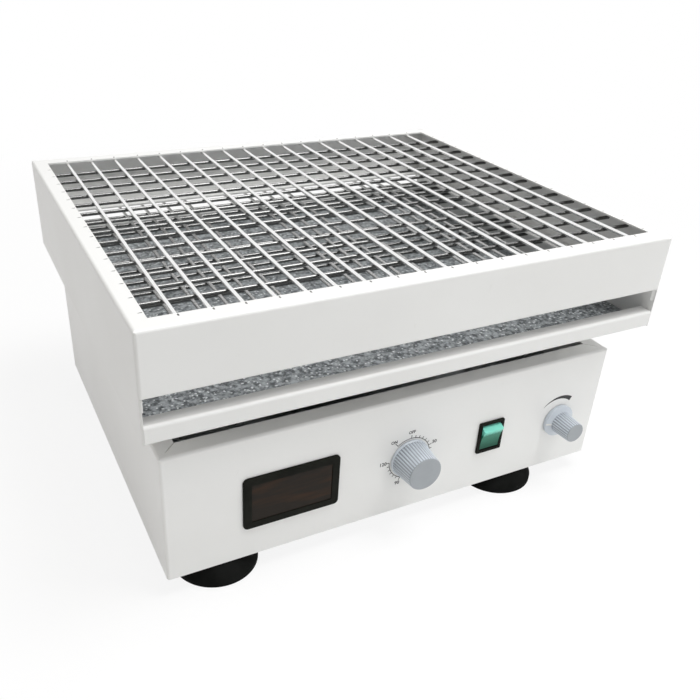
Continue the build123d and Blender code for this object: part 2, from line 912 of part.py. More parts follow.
with BuildPart() as counterweight:
    with BuildSketch(level(web_top)):
        start = weight_side - weight_angle / 2
        with BuildLine():
            outer_arc = CenterArc((0, 0), weight_outer, start, weight_angle)
            inner_arc = CenterArc((0, 0), weight_inner, start, weight_angle)
            Line(inner_arc @ 0, outer_arc @ 0)
            Line(inner_arc @ 1, outer_arc @ 1)
        make_face()
        with Locations(*weight_bolts):
            Circle(screw_hole, mode=Mode.SUBTRACT)
    extrude(amount=weight_height)
save(counterweight, "counterweight")


def screw_down(x, y, seat, length):
    """Cap screw with its head above the seat and its shank pointing down."""
    outline = [
        (0, seat - length),
        (screw_radius, seat - length),
        (screw_radius, seat),
        (screw_head_radius, seat),
        (screw_head_radius, seat + screw_head),
        (0, seat + screw_head),
    ]
    return turned(outline, x, y)


def screw_up(x, y, seat, length):
    """Cap screw with its head below the seat and its shank pointing up."""
    outline = [
        (0, seat - screw_head),
        (screw_head_radius, seat - screw_head),
        (screw_head_radius, seat),
        (screw_radius, seat),
        (screw_radius, seat + length),
        (0, seat + length),
    ]
    return turned(outline, x, y)


with BuildPart() as counterweight_screws:
    for x, y in weight_bolts:
        grip = weight_height + web_thickness - 1
        add(screw_down(x, y, web_top + weight_height, grip))
save(counterweight_screws, "counterweight_screws")

with BuildPart() as case_screws:
    plate_grip = chassis_thickness + screw_tail
    for x, y in main_bolts:
        add(screw_down(x, y, main_housing_top, main_flange + plate_grip))
    for x, y in idler_bolts:
        add(screw_down(x, y, chassis_top + idler_flange, idler_flange + plate_grip))
    for x, y in chassis_bolts:
        add(screw_down(x, y, chassis_top, rail_thickness + plate_grip))
    for x, y in motor_bolts:
        add(screw_down(x, y, chassis_top, chassis_thickness + motor_screw_bite))
    for x, y in foot_places:
        well_top = foot_hollow + foot_bore_depth
        add(screw_up(x, y, well_top, foot_height - well_top + case_sheet + screw_tail))
save(case_screws, "case_screws")


# Idler cranks, one under each quarter of the carrier plate
def idler_crank(x, y):
    """Journal, web and offset pin turned and welded into one piece."""
    pin_x = x + tray_x
    pin_y = y + tray_y
    collar = idler_bore + collar_wall
    with BuildPart() as crank:
        add(ring(0, idler_bore, idler_housing_bottom, idler_housing_top, x, y))
        add(ring(0, collar, idler_housing_top, idler_web_bottom, x, y))
        with BuildSketch(level(idler_web_bottom, x, y)):
            Circle(idler_web_radius)
        extrude(amount=idler_web)
        add(ring(0, collar, idler_web_top, cup_bottom, pin_x, pin_y))
        add(ring(0, idler_bore, cup_bottom, cup_bottom + idler_race_width, pin_x, pin_y))
    return crank


idler_names = ["front_left", "front_right", "rear_left", "rear_right"]
for (idler_at_x, idler_at_y), idler_name in zip(idler_places, idler_names):
    save(idler_crank(idler_at_x, idler_at_y), f"idler_crank_{idler_name}")

# Carrier plate under the tray, with the bearings that ride on the five pins
hub_bolts = [
    (hub_bolt_circle * cos(radians(a)), hub_bolt_circle * sin(radians(a)))
    for a in (45, 135, 225, 315)
]
cup_bolts = [(x + ear * cup_ear_reach, y) for x, y in idler_places for ear in (-1, 1)]
carrier_size = (2 * (idler_x + carrier_margin), 2 * (idler_y + carrier_margin))
with BuildPart() as carrier_plate:
    with BuildSketch(level(carrier_bottom, tray_x, tray_y)):
        RectangleRounded(*carrier_size, carrier_corner)
        with Locations(*(hub_bolts + cup_bolts)):
            Circle(screw_hole, mode=Mode.SUBTRACT)
    extrude(amount=carrier_thickness)
save(carrier_plate, "carrier_plate")


def bearing_cup(x, y, outer_race, width, flange):
    """Cup that opens downwards; the race seats against the lip under the carrier plate."""
    barrel = outer_race + housing_wall
    with BuildPart() as cup:
        add(flange)
        add(ring(0, barrel, carrier_bottom - shoulder - width, carrier_bottom, x, y))
        add(
            turned(
                [
                    (0, carrier_bottom - shoulder - width - 1),
                    (outer_race + seat_clearance, carrier_bottom - shoulder - width - 1),
                    (outer_race + seat_clearance, carrier_bottom - shoulder),
                    (outer_race - shoulder, carrier_bottom - shoulder),
                    (outer_race - shoulder, carrier_bottom + 1),
                    (0, carrier_bottom + 1),
                ],
                x,
                y,
            ),
            mode=Mode.SUBTRACT,
        )
    return cup.part


def round_flange(x, y, radius, bolts, bottom, thickness):
    """Round flange with its bolt holes."""
    with BuildPart() as flange:
        with BuildSketch(level(bottom, x, y)):
            Circle(radius)
            with Locations(*bolts):
                Circle(screw_hole, mode=Mode.SUBTRACT)
        extrude(amount=thickness)
    return flange.part


cup_flange_bottom = carrier_bottom - cup_flange
with BuildPart() as platform_bearing_cups:
    hub = round_flange(tray_x, tray_y, hub_flange_radius, hub_bolts, cup_flange_bottom, cup_flange)
    add(bearing_cup(tray_x, tray_y, pin_outer, pin_race_width, hub))
    for x, y in idler_places:
        cup_x = x + tray_x
        cup_y = y + tray_y
        ears = two_ear_flange(
            cup_x, cup_y, idler_barrel, cup_ear_reach, cup_flange_bottom, cup_flange
        )
        add(bearing_cup(cup_x, cup_y, idler_outer, idler_race_width, ears))
save(platform_bearing_cups, "platform_bearing_cups")

with BuildPart() as platform_bearings:
    inner = pin_bore + inner_race_wall + race_gap
    add(ring(inner, pin_outer, hub_bottom, pin_top, tray_x, tray_y))
    for x, y in idler_places:
        inner = idler_bore + journal_clearance
        top = cup_bottom + idler_race_width
        add(ring(inner, idler_outer, cup_bottom, top, x + tray_x, y + tray_y))
save(platform_bearings, "platform_bearings")

with BuildPart() as carrier_bolts:
    for x, y in hub_bolts + cup_bolts:
        grip = cup_flange + carrier_thickness - weld_gap
        add(screw_up(x + tray_x, y + tray_y, cup_flange_bottom, grip))
save(carrier_bolts, "carrier_bolts")

# Motor, hung under the chassis plate, and the belt drive
motor_bottom = chassis_bottom - motor_length
bell = motor_radius - motor_bell_step
with BuildPart() as motor:
    motor_outline = [
        (0, motor_bottom),
        (bell - motor_edge, motor_bottom),
        (bell, motor_bottom + motor_edge),
        (bell, motor_bottom + motor_bell),
        (motor_radius, motor_bottom + motor_bell),
        (motor_radius, chassis_bottom - motor_bell),
        (bell, chassis_bottom - motor_bell),
        (bell, chassis_bottom),
        (motor_boss_radius, chassis_bottom),
        (motor_boss_radius, chassis_bottom + motor_boss_rise),
        (motor_shaft_radius + journal_clearance, chassis_bottom + motor_boss_rise),
        (motor_shaft_radius + journal_clearance, chassis_bottom - motor_shaft_depth),
        (0, chassis_bottom - motor_shaft_depth),
    ]
    add(turned(motor_outline, 0, motor_y))
    with BuildSketch(level(chassis_bottom, 0, motor_y)):
        with GridLocations(2 * motor_bolt_circle, 1, 2, 1):
            Circle(screw_hole)
    extrude(amount=-(motor_screw_bite + 1), mode=Mode.SUBTRACT)
save(motor, "motor")

motor_shaft_top = web_bottom - motor_shaft_top_gap
motor_pulley_bottom = pulley_bottom + motor_pulley_bottom_gap
with BuildPart() as motor_shaft:
    shaft_foot = chassis_bottom - motor_shaft_depth + motor_pulley_bottom_gap
    add(ring(0, motor_shaft_radius, shaft_foot, motor_shaft_top, 0, motor_y))
save(motor_shaft, "motor_shaft")

with BuildPart() as motor_pulley:
    bore = motor_shaft_radius + seat_clearance
    add(ring(bore, motor_pulley_radius, motor_pulley_bottom, motor_shaft_top, 0, motor_y))
save(motor_pulley, "motor_pulley")


def belt_loop(extra):
    """Outline around both pulleys, standing off their faces."""
    with BuildSketch(level(belt_bottom)) as loop:
        with BuildLine():
            CenterArc((0, 0), pulley_radius + extra, 0, 360)
            CenterArc((0, motor_y), motor_pulley_radius + extra, 0, 360)
        make_hull()
    return loop.sketch


with BuildPart() as drive_belt:
    add(belt_loop(belt_clearance + belt_thickness))
    extrude(amount=belt_width)
    add(belt_loop(belt_clearance))
    extrude(amount=belt_width, mode=Mode.SUBTRACT)
save(drive_belt, "drive_belt")

# Display
with BuildPart() as display_bezel:
    with BuildSketch(panel_plane(display_x, display_z)):
        RectangleRounded(display_width, display_height, display_corner)
    extrude(amount=display_stand)
    chamfer(display_bezel.faces().sort_by(Axis.Y)[0].edges(), 0.8)
    with BuildSketch(panel_plane(display_x, display_z)):
        Rectangle(*display_body)
    extrude(amount=-display_reach)
    with BuildSketch(panel_plane(display_x, display_z, -display_reach)):
        Rectangle(display_body[0] - 2 * display_wall, display_body[1] - 2 * display_wall)
    extrude(amount=display_reach + display_stand - window_set_back, mode=Mode.SUBTRACT)
    with BuildSketch(panel_plane(display_x, display_z)):
        Rectangle(display_width - 2 * display_border, display_height - 2 * display_border)
    extrude(amount=2 * display_stand, mode=Mode.SUBTRACT)
save(display_bezel, "display_bezel")

display_room = (
    display_body[0] - 2 * display_wall - 2 * weld_gap,
    display_body[1] - 2 * display_wall - 2 * weld_gap,
)
with BuildPart() as display_window:
    window_front = display_stand - window_set_back - weld_gap
    with BuildSketch(panel_plane(display_x, display_z, window_front)):
        Rectangle(*display_room)
    extrude(amount=-window_thickness)
save(display_window, "display_window")

with BuildPart() as display_board:
    with BuildSketch(panel_plane(display_x, display_z, -display_reach)):
        Rectangle(*display_room)
    extrude(amount=board_sheet)
    with BuildSketch(panel_plane(display_x, display_z, board_sheet - display_reach)):
        with GridLocations(digit_pitch, 1, digit_count, 1):
            Rectangle(digit_width, digit_height)
    extrude(amount=digit_depth)
save(display_board, "display_board")


# Timer and speed control
def panel_nut(x, z):
    """Hexagon nut that holds a control's bush to the panel."""
    with BuildPart() as nut:
        with BuildSketch(panel_plane(x, z)):
            RegularPolygon(nut_radius, 6)
            Circle(bush_radius + seat_clearance, mode=Mode.SUBTRACT)
        extrude(amount=nut_height)
    return nut.part


with BuildPart() as timer_body:
    with BuildSketch(panel_plane(timer_x, timer_z, -case_sheet)):
        RectangleRounded(timer_body_size, timer_body_size, timer_corner)
    extrude(amount=-timer_body_depth)
    with BuildSketch(panel_plane(timer_x, timer_z, bush_rise)):
        Circle(bush_radius)
    extrude(amount=-(bush_rise + case_sheet))
    with BuildSketch(panel_plane(timer_x, timer_z, bush_rise)):
        Circle(shaft_radius + journal_clearance)
    extrude(amount=-(bush_rise + case_sheet + shaft_depth), mode=Mode.SUBTRACT)
save(timer_body, "timer_body")

with BuildPart() as speed_potentiometer:
    pot_back = -case_sheet - speed_body_depth
    pot_bore = shaft_radius + journal_clearance
    add(
        turned_on_panel(
            [
                (0, pot_back),
                (speed_body_radius, pot_back),
                (speed_body_radius, -case_sheet),
                (bush_radius, -case_sheet),
                (bush_radius, bush_rise),
                (pot_bore, bush_rise),
                (pot_bore, -case_sheet - pot_shaft_depth),
                (0, -case_sheet - pot_shaft_depth),
            ],
            speed_x,
            speed_z,
        )
    )
save(speed_potentiometer, "speed_potentiometer")

with BuildPart() as panel_nuts:
    add(panel_nut(timer_x, timer_z))
    add(panel_nut(speed_x, speed_z))
save(panel_nuts, "panel_nuts")


def control_shaft(x, z, depth, length):
    """Round shaft from inside the control to the top of the knob's bore."""
    with BuildPart() as shaft:
        foot = -case_sheet - depth + knob_gap
        head = knob_gap + length - cap_thickness - knob_wall
        add(turned_on_panel([(0, foot), (shaft_radius, foot), (shaft_radius, head), (0, head)], x, z))
    return shaft


timer_shaft = control_shaft(timer_x, timer_z, shaft_depth, timer_knob_length)
save(timer_shaft, "timer_shaft")
speed_shaft = control_shaft(speed_x, speed_z, pot_shaft_depth, speed_knob_length)
save(speed_shaft, "speed_shaft")


def ribbed_outline(radius, ribs, width, height):
    """Corner points of a ribbed circle: each rib stands out from the root by its height."""
    pitch = 360 / ribs
    half_root = degrees(width / radius) / 2
    points = []
    for i in range(ribs):
        for offset, out in (
            (-half_root, 0),
            (-half_root / 2, height),
            (half_root / 2, height),
            (half_root, 0),
        ):
            angle = radians(i * pitch + offset)
            points.append(((radius + out) * cos(angle), (radius + out) * sin(angle)))
    return points


def ribbed_knob(x, z, length, base, barrel, face, ribs, rib):
    """Tapered ribbed knob; base and rib hold (radius or width, height) pairs."""
    top = knob_gap + length - (cap_thickness - cap_sink)
    rib_width, rib_height = rib
    slope = degrees(atan2(barrel - face, top - knob_gap - base[1]))
    with BuildPart() as knob:
        add(
            turned_on_panel(
                [
                    (0, knob_gap),
                    (base[0], knob_gap),
                    (base[0], knob_gap + 0.6 * base[1]),
                    (barrel + rib_height, knob_gap + base[1]),
                    (0, knob_gap + base[1]),
                ],
                x,
                z,
            )
        )
        with BuildSketch(panel_plane(x, z, knob_gap + base[1])):
            with BuildLine():
                Polyline(*ribbed_outline(barrel, ribs, rib_width, rib_height), close=True)
            make_face()
        extrude(amount=top - knob_gap - base[1], taper=slope)
        add(
            turned_on_panel(
                [
                    (shaft_radius + knob_boss_wall, 0),
                    (face - knob_wall, 0),
                    (face - knob_wall, knob_hollow + knob_gap),
                    (shaft_radius + knob_boss_wall, knob_hollow + knob_gap),
                ],
                x,
                z,
            ),
            mode=Mode.SUBTRACT,
        )
        add(
            turned_on_panel(
                [
                    (0, 0),
                    (nut_radius + 0.4, 0),
                    (nut_radius + 0.4, bush_rise + knob_gap),
                    (shaft_radius + seat_clearance, bush_rise + knob_gap),
                    (shaft_radius + seat_clearance, knob_gap + length - cap_thickness - knob_wall),
                    (0, knob_gap + length - cap_thickness - knob_wall),
                ],
                x,
                z,
            ),
            mode=Mode.SUBTRACT,
        )
        with BuildSketch(panel_plane(x, z, top)):
            Circle(face - cap_margin + seat_clearance)
        extrude(amount=-cap_sink, mode=Mode.SUBTRACT)
    return knob


def knob_cap(x, z, length, face):
    """Thin disc let into the knob's face."""
    top = knob_gap + length
    with BuildPart() as cap:
        rim = face - cap_margin
        outline = [
            (0, top - cap_thickness),
            (rim, top - cap_thickness),
            (rim, top - 0.3),
            (rim - 0.3, top),
            (0, top),
        ]
        add(turned_on_panel(outline, x, z))
    return cap


timer_knob = ribbed_knob(
    timer_x,
    timer_z,
    timer_knob_length,
    (timer_ring_radius, timer_ring_height),
    timer_barrel_radius,
    timer_face_radius,
    timer_ribs,
    (timer_rib_width, timer_rib_height),
)
save(timer_knob, "timer_knob")
save(knob_cap(timer_x, timer_z, timer_knob_length, timer_face_radius), "timer_knob_cap")
speed_knob = ribbed_knob(
    speed_x,
    speed_z,
    speed_knob_length,
    (speed_skirt_radius, speed_skirt_height),
    speed_barrel_radius,
    speed_face_radius,
    speed_ribs,
    (speed_rib_width, speed_rib_height),
)
save(speed_knob, "speed_knob")
save(knob_cap(speed_x, speed_z, speed_knob_length, speed_face_radius), "speed_knob_cap")

# Power switch
well_width = switch_width - 2 * switch_border
well_height = switch_height - 2 * switch_border
rocker_width = well_width - 2 * rocker_clearance
rocker_place = (switch_x, front_face + rocker_pivot_depth, case_bottom + switch_z)
with BuildPart() as switch_housing:
    with BuildSketch(panel_plane(switch_x, switch_z)):
        RectangleRounded(switch_width, switch_height, switch_corner)
    extrude(amount=switch_stand)
    with BuildSketch(panel_plane(switch_x, switch_z)):
        Rectangle(*switch_body)
    extrude(amount=-switch_reach)
    with BuildSketch(panel_plane(switch_x, switch_z, switch_stand)):
        Rectangle(well_width, well_height)
    extrude(amount=-switch_well, mode=Mode.SUBTRACT)
    with BuildSketch(Plane(origin=rocker_place, z_dir=(1, 0, 0))):
        Circle(rocker_pin_radius + journal_clearance)
    extrude(
        amount=rocker_width / 2 + rocker_pin_length + journal_clearance,
        both=True,
        mode=Mode.SUBTRACT,
    )
    with BuildSketch(panel_plane(switch_x, switch_z, -switch_reach)):
        with GridLocations(terminal_pitch, terminal_pitch, 2, 2):
            Rectangle(terminal_width, terminal_thickness)
    extrude(amount=-terminal_length)
save(switch_housing, "switch_housing")

rocker_lean = (0, -sin(radians(rocker_tilt)), cos(radians(rocker_tilt)))
rest_plane = Plane(origin=rocker_place, x_dir=rocker_lean, z_dir=(1, 0, 0))
with BuildPart() as rocker:
    with BuildSketch(rest_plane):
        with BuildLine():
            ThreePointArc(
                (-rocker_edge_half, rocker_reach),
                (0, rocker_reach - rocker_dish),
                (rocker_edge_half, rocker_reach),
            )
            Polyline(
                (rocker_edge_half, rocker_reach),
                (rocker_half, 0),
                (rocker_root_half, -rocker_root),
                (-rocker_root_half, -rocker_root),
                (-rocker_half, 0),
                (-rocker_edge_half, rocker_reach),
            )
        make_face()
    extrude(amount=rocker_width / 2, both=True)
    with BuildSketch(rest_plane):
        Circle(rocker_pin_radius)
    extrude(amount=rocker_width / 2 + rocker_pin_length, both=True)
save(rocker, "rocker")


# Rear inlet and the control board
with BuildPart() as power_inlet:
    with BuildSketch(inlet_plane(0)):
        RectangleRounded(inlet_width, inlet_height, 2 * inlet_flange_overlap)
    extrude(amount=inlet_stand)
    with BuildSketch(inlet_plane(0)):
        Rectangle(*inlet_body)
    extrude(amount=-inlet_reach)
    with BuildSketch(inlet_plane(socket_rise, inlet_stand)):
        Rectangle(socket_width, socket_height)
    extrude(amount=-socket_depth, mode=Mode.SUBTRACT)
    with BuildSketch(inlet_plane(socket_rise, inlet_stand - socket_pin_set_back)):
        with GridLocations(2 * socket_pin_pitch, 1, 2, 1):
            Rectangle(socket_pin_thickness, socket_pin_width)
        with Locations((0, socket_pin_width / 2)):
            Rectangle(socket_pin_thickness, socket_pin_width)
    extrude(amount=socket_pin_set_back - socket_depth)
    with BuildSketch(inlet_plane(fuse_drop, inlet_stand)):
        Rectangle(socket_width, fuse_height)
    extrude(amount=fuse_rise)
save(power_inlet, "power_inlet")

with BuildPart() as control_board:
    board_place = (control_board_x, control_board_y)
    pan_floor = case_bottom + case_sheet
    with BuildSketch(level(pan_floor + standoff_height, *board_place)):
        Rectangle(control_board_width, control_board_depth)
    extrude(amount=board_sheet)
    with BuildSketch(level(pan_floor, *board_place)):
        with GridLocations(
            control_board_width - 2 * standoff_inset, control_board_depth - 2 * standoff_inset, 2, 2
        ):
            Circle(standoff_radius)
    extrude(amount=standoff_height)
    with Locations((control_board_x, control_board_y, pan_floor + standoff_height + board_sheet)):
        with Locations((-transformer[0] / 2 - 4, 8)):
            Box(*transformer, align=(Align.CENTER, Align.CENTER, Align.MIN))
        with Locations((14, 16)):
            Cylinder(
                capacitor_radius,
                capacitor_height,
                align=(Align.CENTER, Align.CENTER, Align.MIN),
            )
        with Locations((20, -18)):
            Box(*heat_sink, align=(Align.CENTER, Align.CENTER, Align.MIN))
save(control_board, "control_board")
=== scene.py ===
"""Looks of the orbital shaker: finishes, dial print, small fittings, light and camera.

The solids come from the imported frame. Each sub-assembly is a class that dresses its own
solids and adds the printed and moulded detail on them. A pale studio surrounds the object.
"""

from __future__ import annotations

import logging
import math
from dataclasses import dataclass, field
from enum import Enum

import bmesh
import bpy
from mathutils import Euler, Matrix, Vector

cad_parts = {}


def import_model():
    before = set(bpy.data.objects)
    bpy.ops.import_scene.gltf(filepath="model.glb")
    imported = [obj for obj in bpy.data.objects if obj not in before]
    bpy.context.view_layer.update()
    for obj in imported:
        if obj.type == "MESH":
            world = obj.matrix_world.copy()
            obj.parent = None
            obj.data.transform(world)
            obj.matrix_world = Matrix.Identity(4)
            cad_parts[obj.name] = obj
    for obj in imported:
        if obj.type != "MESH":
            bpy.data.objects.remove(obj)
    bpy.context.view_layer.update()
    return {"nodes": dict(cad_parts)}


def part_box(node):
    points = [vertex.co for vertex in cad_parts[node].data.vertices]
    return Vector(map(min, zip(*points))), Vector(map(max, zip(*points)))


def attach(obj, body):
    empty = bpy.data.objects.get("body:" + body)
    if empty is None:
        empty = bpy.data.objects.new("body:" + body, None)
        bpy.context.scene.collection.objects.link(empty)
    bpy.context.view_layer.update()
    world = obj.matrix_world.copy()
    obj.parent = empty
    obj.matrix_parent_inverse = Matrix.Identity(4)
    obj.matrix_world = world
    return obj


LOG = logging.getLogger("shaker")
MM = 0.001

Triple = tuple[float, float, float]
Colour = Triple
Span = tuple[float, float]
Stops = tuple[tuple[float, Colour], ...]
Socket = bpy.types.NodeSocket


def placed(name: str, data: bpy.types.ID) -> bpy.types.Object:
    """Make an object and link it into the scene.

    Args:
        name: object name.
        data: its mesh, curve, camera or light.

    Returns:
        The object.
    """
    item = bpy.data.objects.new(name, data)
    bpy.context.scene.collection.objects.link(item)
    return item


class Graph:
    """Small helper that adds and wires shader nodes in one tree."""

    def __init__(self, tree: bpy.types.NodeTree) -> None:
        """Keep the tree that the nodes go into.

        Args:
            tree: material, world or group tree.
        """
        self.tree = tree

    @classmethod
    def fresh(cls, owner: bpy.types.Material | bpy.types.World) -> Graph:
        """Empty a material's or world's tree of its default nodes.

        Args:
            owner: the material or world.

        Returns:
            A graph on its tree.
        """
        owner.use_nodes = True
        owner.node_tree.nodes.clear()
        return cls(owner.node_tree)

    def add(self, kind: str, settings: dict | None = None, **inputs: object) -> bpy.types.Node:
        """Add a node, set its properties and fill or link its inputs.

        Args:
            kind: Blender's node type name without the leading "ShaderNode".
            settings: properties of the node itself, such as its operation.
            **inputs: socket name, with "_" for a space or "iN" for socket N, to a value or a socket.

        Returns:
            The new node.
        """
        node = self.tree.nodes.new("ShaderNode" + kind)
        for name, value in (settings or {}).items():
            setattr(node, name, value)
        for name, value in inputs.items():
            numbered = name[0] == "i" and name[1:].isdigit()
            socket = node.inputs[int(name[1:]) if numbered else name.replace("_", " ")]
            if isinstance(value, Socket):
                self.tree.links.new(value, socket)
            elif isinstance(value, tuple) and len(value) == 3 and socket.type == "RGBA":
                socket.default_value = (*value, 1.0)
            else:
                socket.default_value = value
        return node

    def group(self, tree: bpy.types.NodeTree, **inputs: object) -> bpy.types.Node:
        """Add a shared effect.

        Args:
            tree: node group.
            **inputs: as in add().

        Returns:
            The group's node.
        """
        return self.add("Group", {"node_tree": tree}, **inputs)

    def place(self) -> Socket:
        """Coordinates of the shaded point in metres, as a socket."""
        return self.add("TexCoord").outputs["Object"]

    def math(self, operation: str, *values: object) -> Socket:
        """Arithmetic on one or two values.

        Args:
            operation: Blender's name of the operation.
            *values: numbers or sockets, in order.

        Returns:
            The result's socket.
        """
        inputs = {f"i{index}": value for index, value in enumerate(values)}
        return self.add("Math", {"operation": operation}, **inputs).outputs[0]

    def mix(self, share: Socket, first: object, second: object) -> Socket:
        """Blend two colours, which are the node's sockets 6 and 7.

        Args:
            share: how much of the second one shows.
            first: colour or socket.
            second: colour or socket.

        Returns:
            The blended colour's socket.
        """
        return self.add("Mix", {"data_type": "RGBA"}, Factor=share, i6=first, i7=second).outputs[2]

    def ramp(self, value: Socket, stops: Stops) -> Socket:
        """Colour ramp over a value.

        Args:
            value: socket that drives the ramp.
            stops: positions and colours, in rising order.

        Returns:
            The ramp's colour socket.
        """
        node = self.add("ValToRGB", Fac=value)
        elements = node.color_ramp.elements
        while len(elements) < len(stops):
            elements.new(0.5)
        for element, (position, colour) in zip(elements, stops):
            element.position = position
            element.color = (*colour, 1.0)
        return node.outputs["Color"]

    def tones(self, value: Socket, band: Span, first: Colour, last: Colour) -> Socket:
        """Colour that changes from one tone to another over a band of a value."""
        return self.ramp(value, ((band[0], first), (band[1], last)))

    def mask(self, value: Socket, band: Span) -> Socket:
        """Map a band of a value onto 0 to 1.

        Args:
            value: socket to map.
            band: the value at which the mask is 0 and the one at which it is 1.

        Returns:
            The mask's socket.
        """
        node = self.add("MapRange", Value=value, From_Min=band[0], From_Max=band[1])
        return node.outputs["Result"]

    def spread(self, value: Socket, span: Span) -> Socket:
        """Map a 0 to 1 value onto a range.

        Args:
            value: socket to map.
            span: the results at 0 and at 1.

        Returns:
            The mapped value's socket.
        """
        node = self.add("MapRange", Value=value, To_Min=span[0], To_Max=span[1])
        return node.outputs["Result"]

    def blend(self, share: Socket, first: bpy.types.Node, second: bpy.types.Node) -> bpy.types.Node:
        """Mix two shader nodes, with this share of the second one."""
        return self.add("MixShader", Fac=share, i1=first.outputs[0], i2=second.outputs[0])

    def surface(self, **inputs: object) -> Socket:
        """Principled shader with these inputs, as a socket."""
        return self.add("BsdfPrincipled", **inputs).outputs["BSDF"]


class Effects:
    """Node groups shared by the finishes, each made once."""

    mark_stretch: Triple = (1.0, 0.7, 0.35)
    mark_band: Span = (0.66, 0.8)
    _made: dict[str, bpy.types.NodeTree] = {}

    @classmethod
    def _new(
        cls, name: str, inputs: dict[str, float], outputs: dict[str, str]
    ) -> tuple[Graph, dict[str, Socket], dict[str, Socket]]:
        """Start a group with float inputs and named outputs.

        Args:
            name: group name.
            inputs: float inputs and their defaults.
            outputs: output names and socket types.

        Returns:
            The graph, the group's input sockets and its output sockets by name.
        """
        tree = bpy.data.node_groups.new(name, "ShaderNodeTree")
        for label, default in inputs.items():
            socket = tree.interface.new_socket(label, in_out="INPUT", socket_type="NodeSocketFloat")
            socket.default_value = default
        for label, kind in outputs.items():
            tree.interface.new_socket(label, in_out="OUTPUT", socket_type=kind)
        entry = tree.nodes.new("NodeGroupInput")
        leave = tree.nodes.new("NodeGroupOutput")
        cls._made[name] = tree
        return Graph(tree), entry.outputs, leave.inputs

    @classmethod
    def grain(cls) -> bpy.types.NodeTree:
        """Fine surface grain as a normal, with the noise itself as a mask.

        Returns:
            The node group.
        """
        if "surface_grain" in cls._made:
            return cls._made["surface_grain"]
        graph, given, result = cls._new(
            "surface_grain",
            {"Scale": 600.0, "Height": 0.03 * MM, "Detail": 2.0},
            {"Normal": "NodeSocketVector", "Mask": "NodeSocketFloat"},
        )
        noise = graph.add("TexNoise", Vector=graph.place(), Scale=given["Scale"], Detail=given["Detail"])
        bump = graph.add("Bump", Strength=1.0, Distance=given["Height"], Height=noise.outputs["Fac"])
        graph.tree.links.new(bump.outputs["Normal"], result["Normal"])
        graph.tree.links.new(noise.outputs["Fac"], result["Mask"])
        return graph.tree

    @classmethod
    def wear(cls) -> bpy.types.NodeTree:
        """Large soft patches and scattered small marks, each as a 0 to 1 mask.

        Returns:
            The node group.
        """
        if "handling_wear" in cls._made:
            return cls._made["handling_wear"]
        graph, given, result = cls._new(
            "handling_wear",
            {"Patch Scale": 9.0, "Mark Scale": 160.0},
            {"Patches": "NodeSocketFloat", "Marks": "NodeSocketFloat"},
        )
        place = graph.place()
        patches = graph.add("TexNoise", Vector=place, Scale=given["Patch Scale"], Detail=3.0)
        long = graph.add("Mapping", Vector=place, Scale=cls.mark_stretch).outputs["Vector"]
        marks = graph.add("TexNoise", Vector=long, Scale=given["Mark Scale"], Detail=4.0, Roughness=0.65)
        graph.tree.links.new(patches.outputs["Fac"], result["Patches"])
        graph.tree.links.new(graph.mask(marks.outputs["Fac"], cls.mark_band), result["Marks"])
        return graph.tree


@dataclass(frozen=True)
class Finish:
    """A finish: one procedural material, made once by name."""

    name: str

    def material(self) -> bpy.types.Material:
        """Make the material, unless it was made before.

        Returns:
            The material with this finish's name.
        """
        made = bpy.data.materials.get(self.name)
        if made is None:
            made = bpy.data.materials.new(self.name)
            graph = Graph.fresh(made)
            graph.add("OutputMaterial", Surface=self.shade(graph))
        return made

    def shade(self, graph: Graph) -> Socket:
        """Build the surface shader.

        Args:
            graph: the material's own graph.

        Returns:
            The shader socket for the material's surface.
        """
        raise NotImplementedError


@dataclass(frozen=True)
class PowderCoat(Finish):
    """Sprayed powder coat with a faint orange peel and light handling marks."""

    tone: Colour = (0.85, 0.85, 0.84)
    shade_tone: Colour = (0.81, 0.808, 0.795)
    tone_band: Span = (0.3, 0.65)
    mark_tone: Colour = (0.62, 0.6, 0.56)
    mark_share: float = 0.22
    roughness: Span = (0.44, 0.33)
    peel_height: float = 0.016 * MM

    def shade(self, graph: Graph) -> Socket:
        """Shade sprayed paint.

        Args:
            graph: the material's own graph.

        Returns:
            The shader socket for the material's surface.
        """
        wear = graph.group(Effects.wear(), Patch_Scale=7.0, Mark_Scale=150.0)
        grain = graph.group(Effects.grain(), Scale=520.0, Height=self.peel_height, Detail=1.0)
        patches = wear.outputs["Patches"]
        paint = graph.tones(patches, self.tone_band, self.shade_tone, self.tone)
        faint = graph.math("MULTIPLY", wear.outputs["Marks"], self.mark_share)
        return graph.surface(
            Base_Color=graph.mix(faint, paint, self.mark_tone),
            Roughness=graph.spread(patches, self.roughness),
            Normal=grain.outputs["Normal"],
            Coat_Weight=0.12,
            Coat_Roughness=0.2,
            Specular_IOR_Level=0.45,
        )


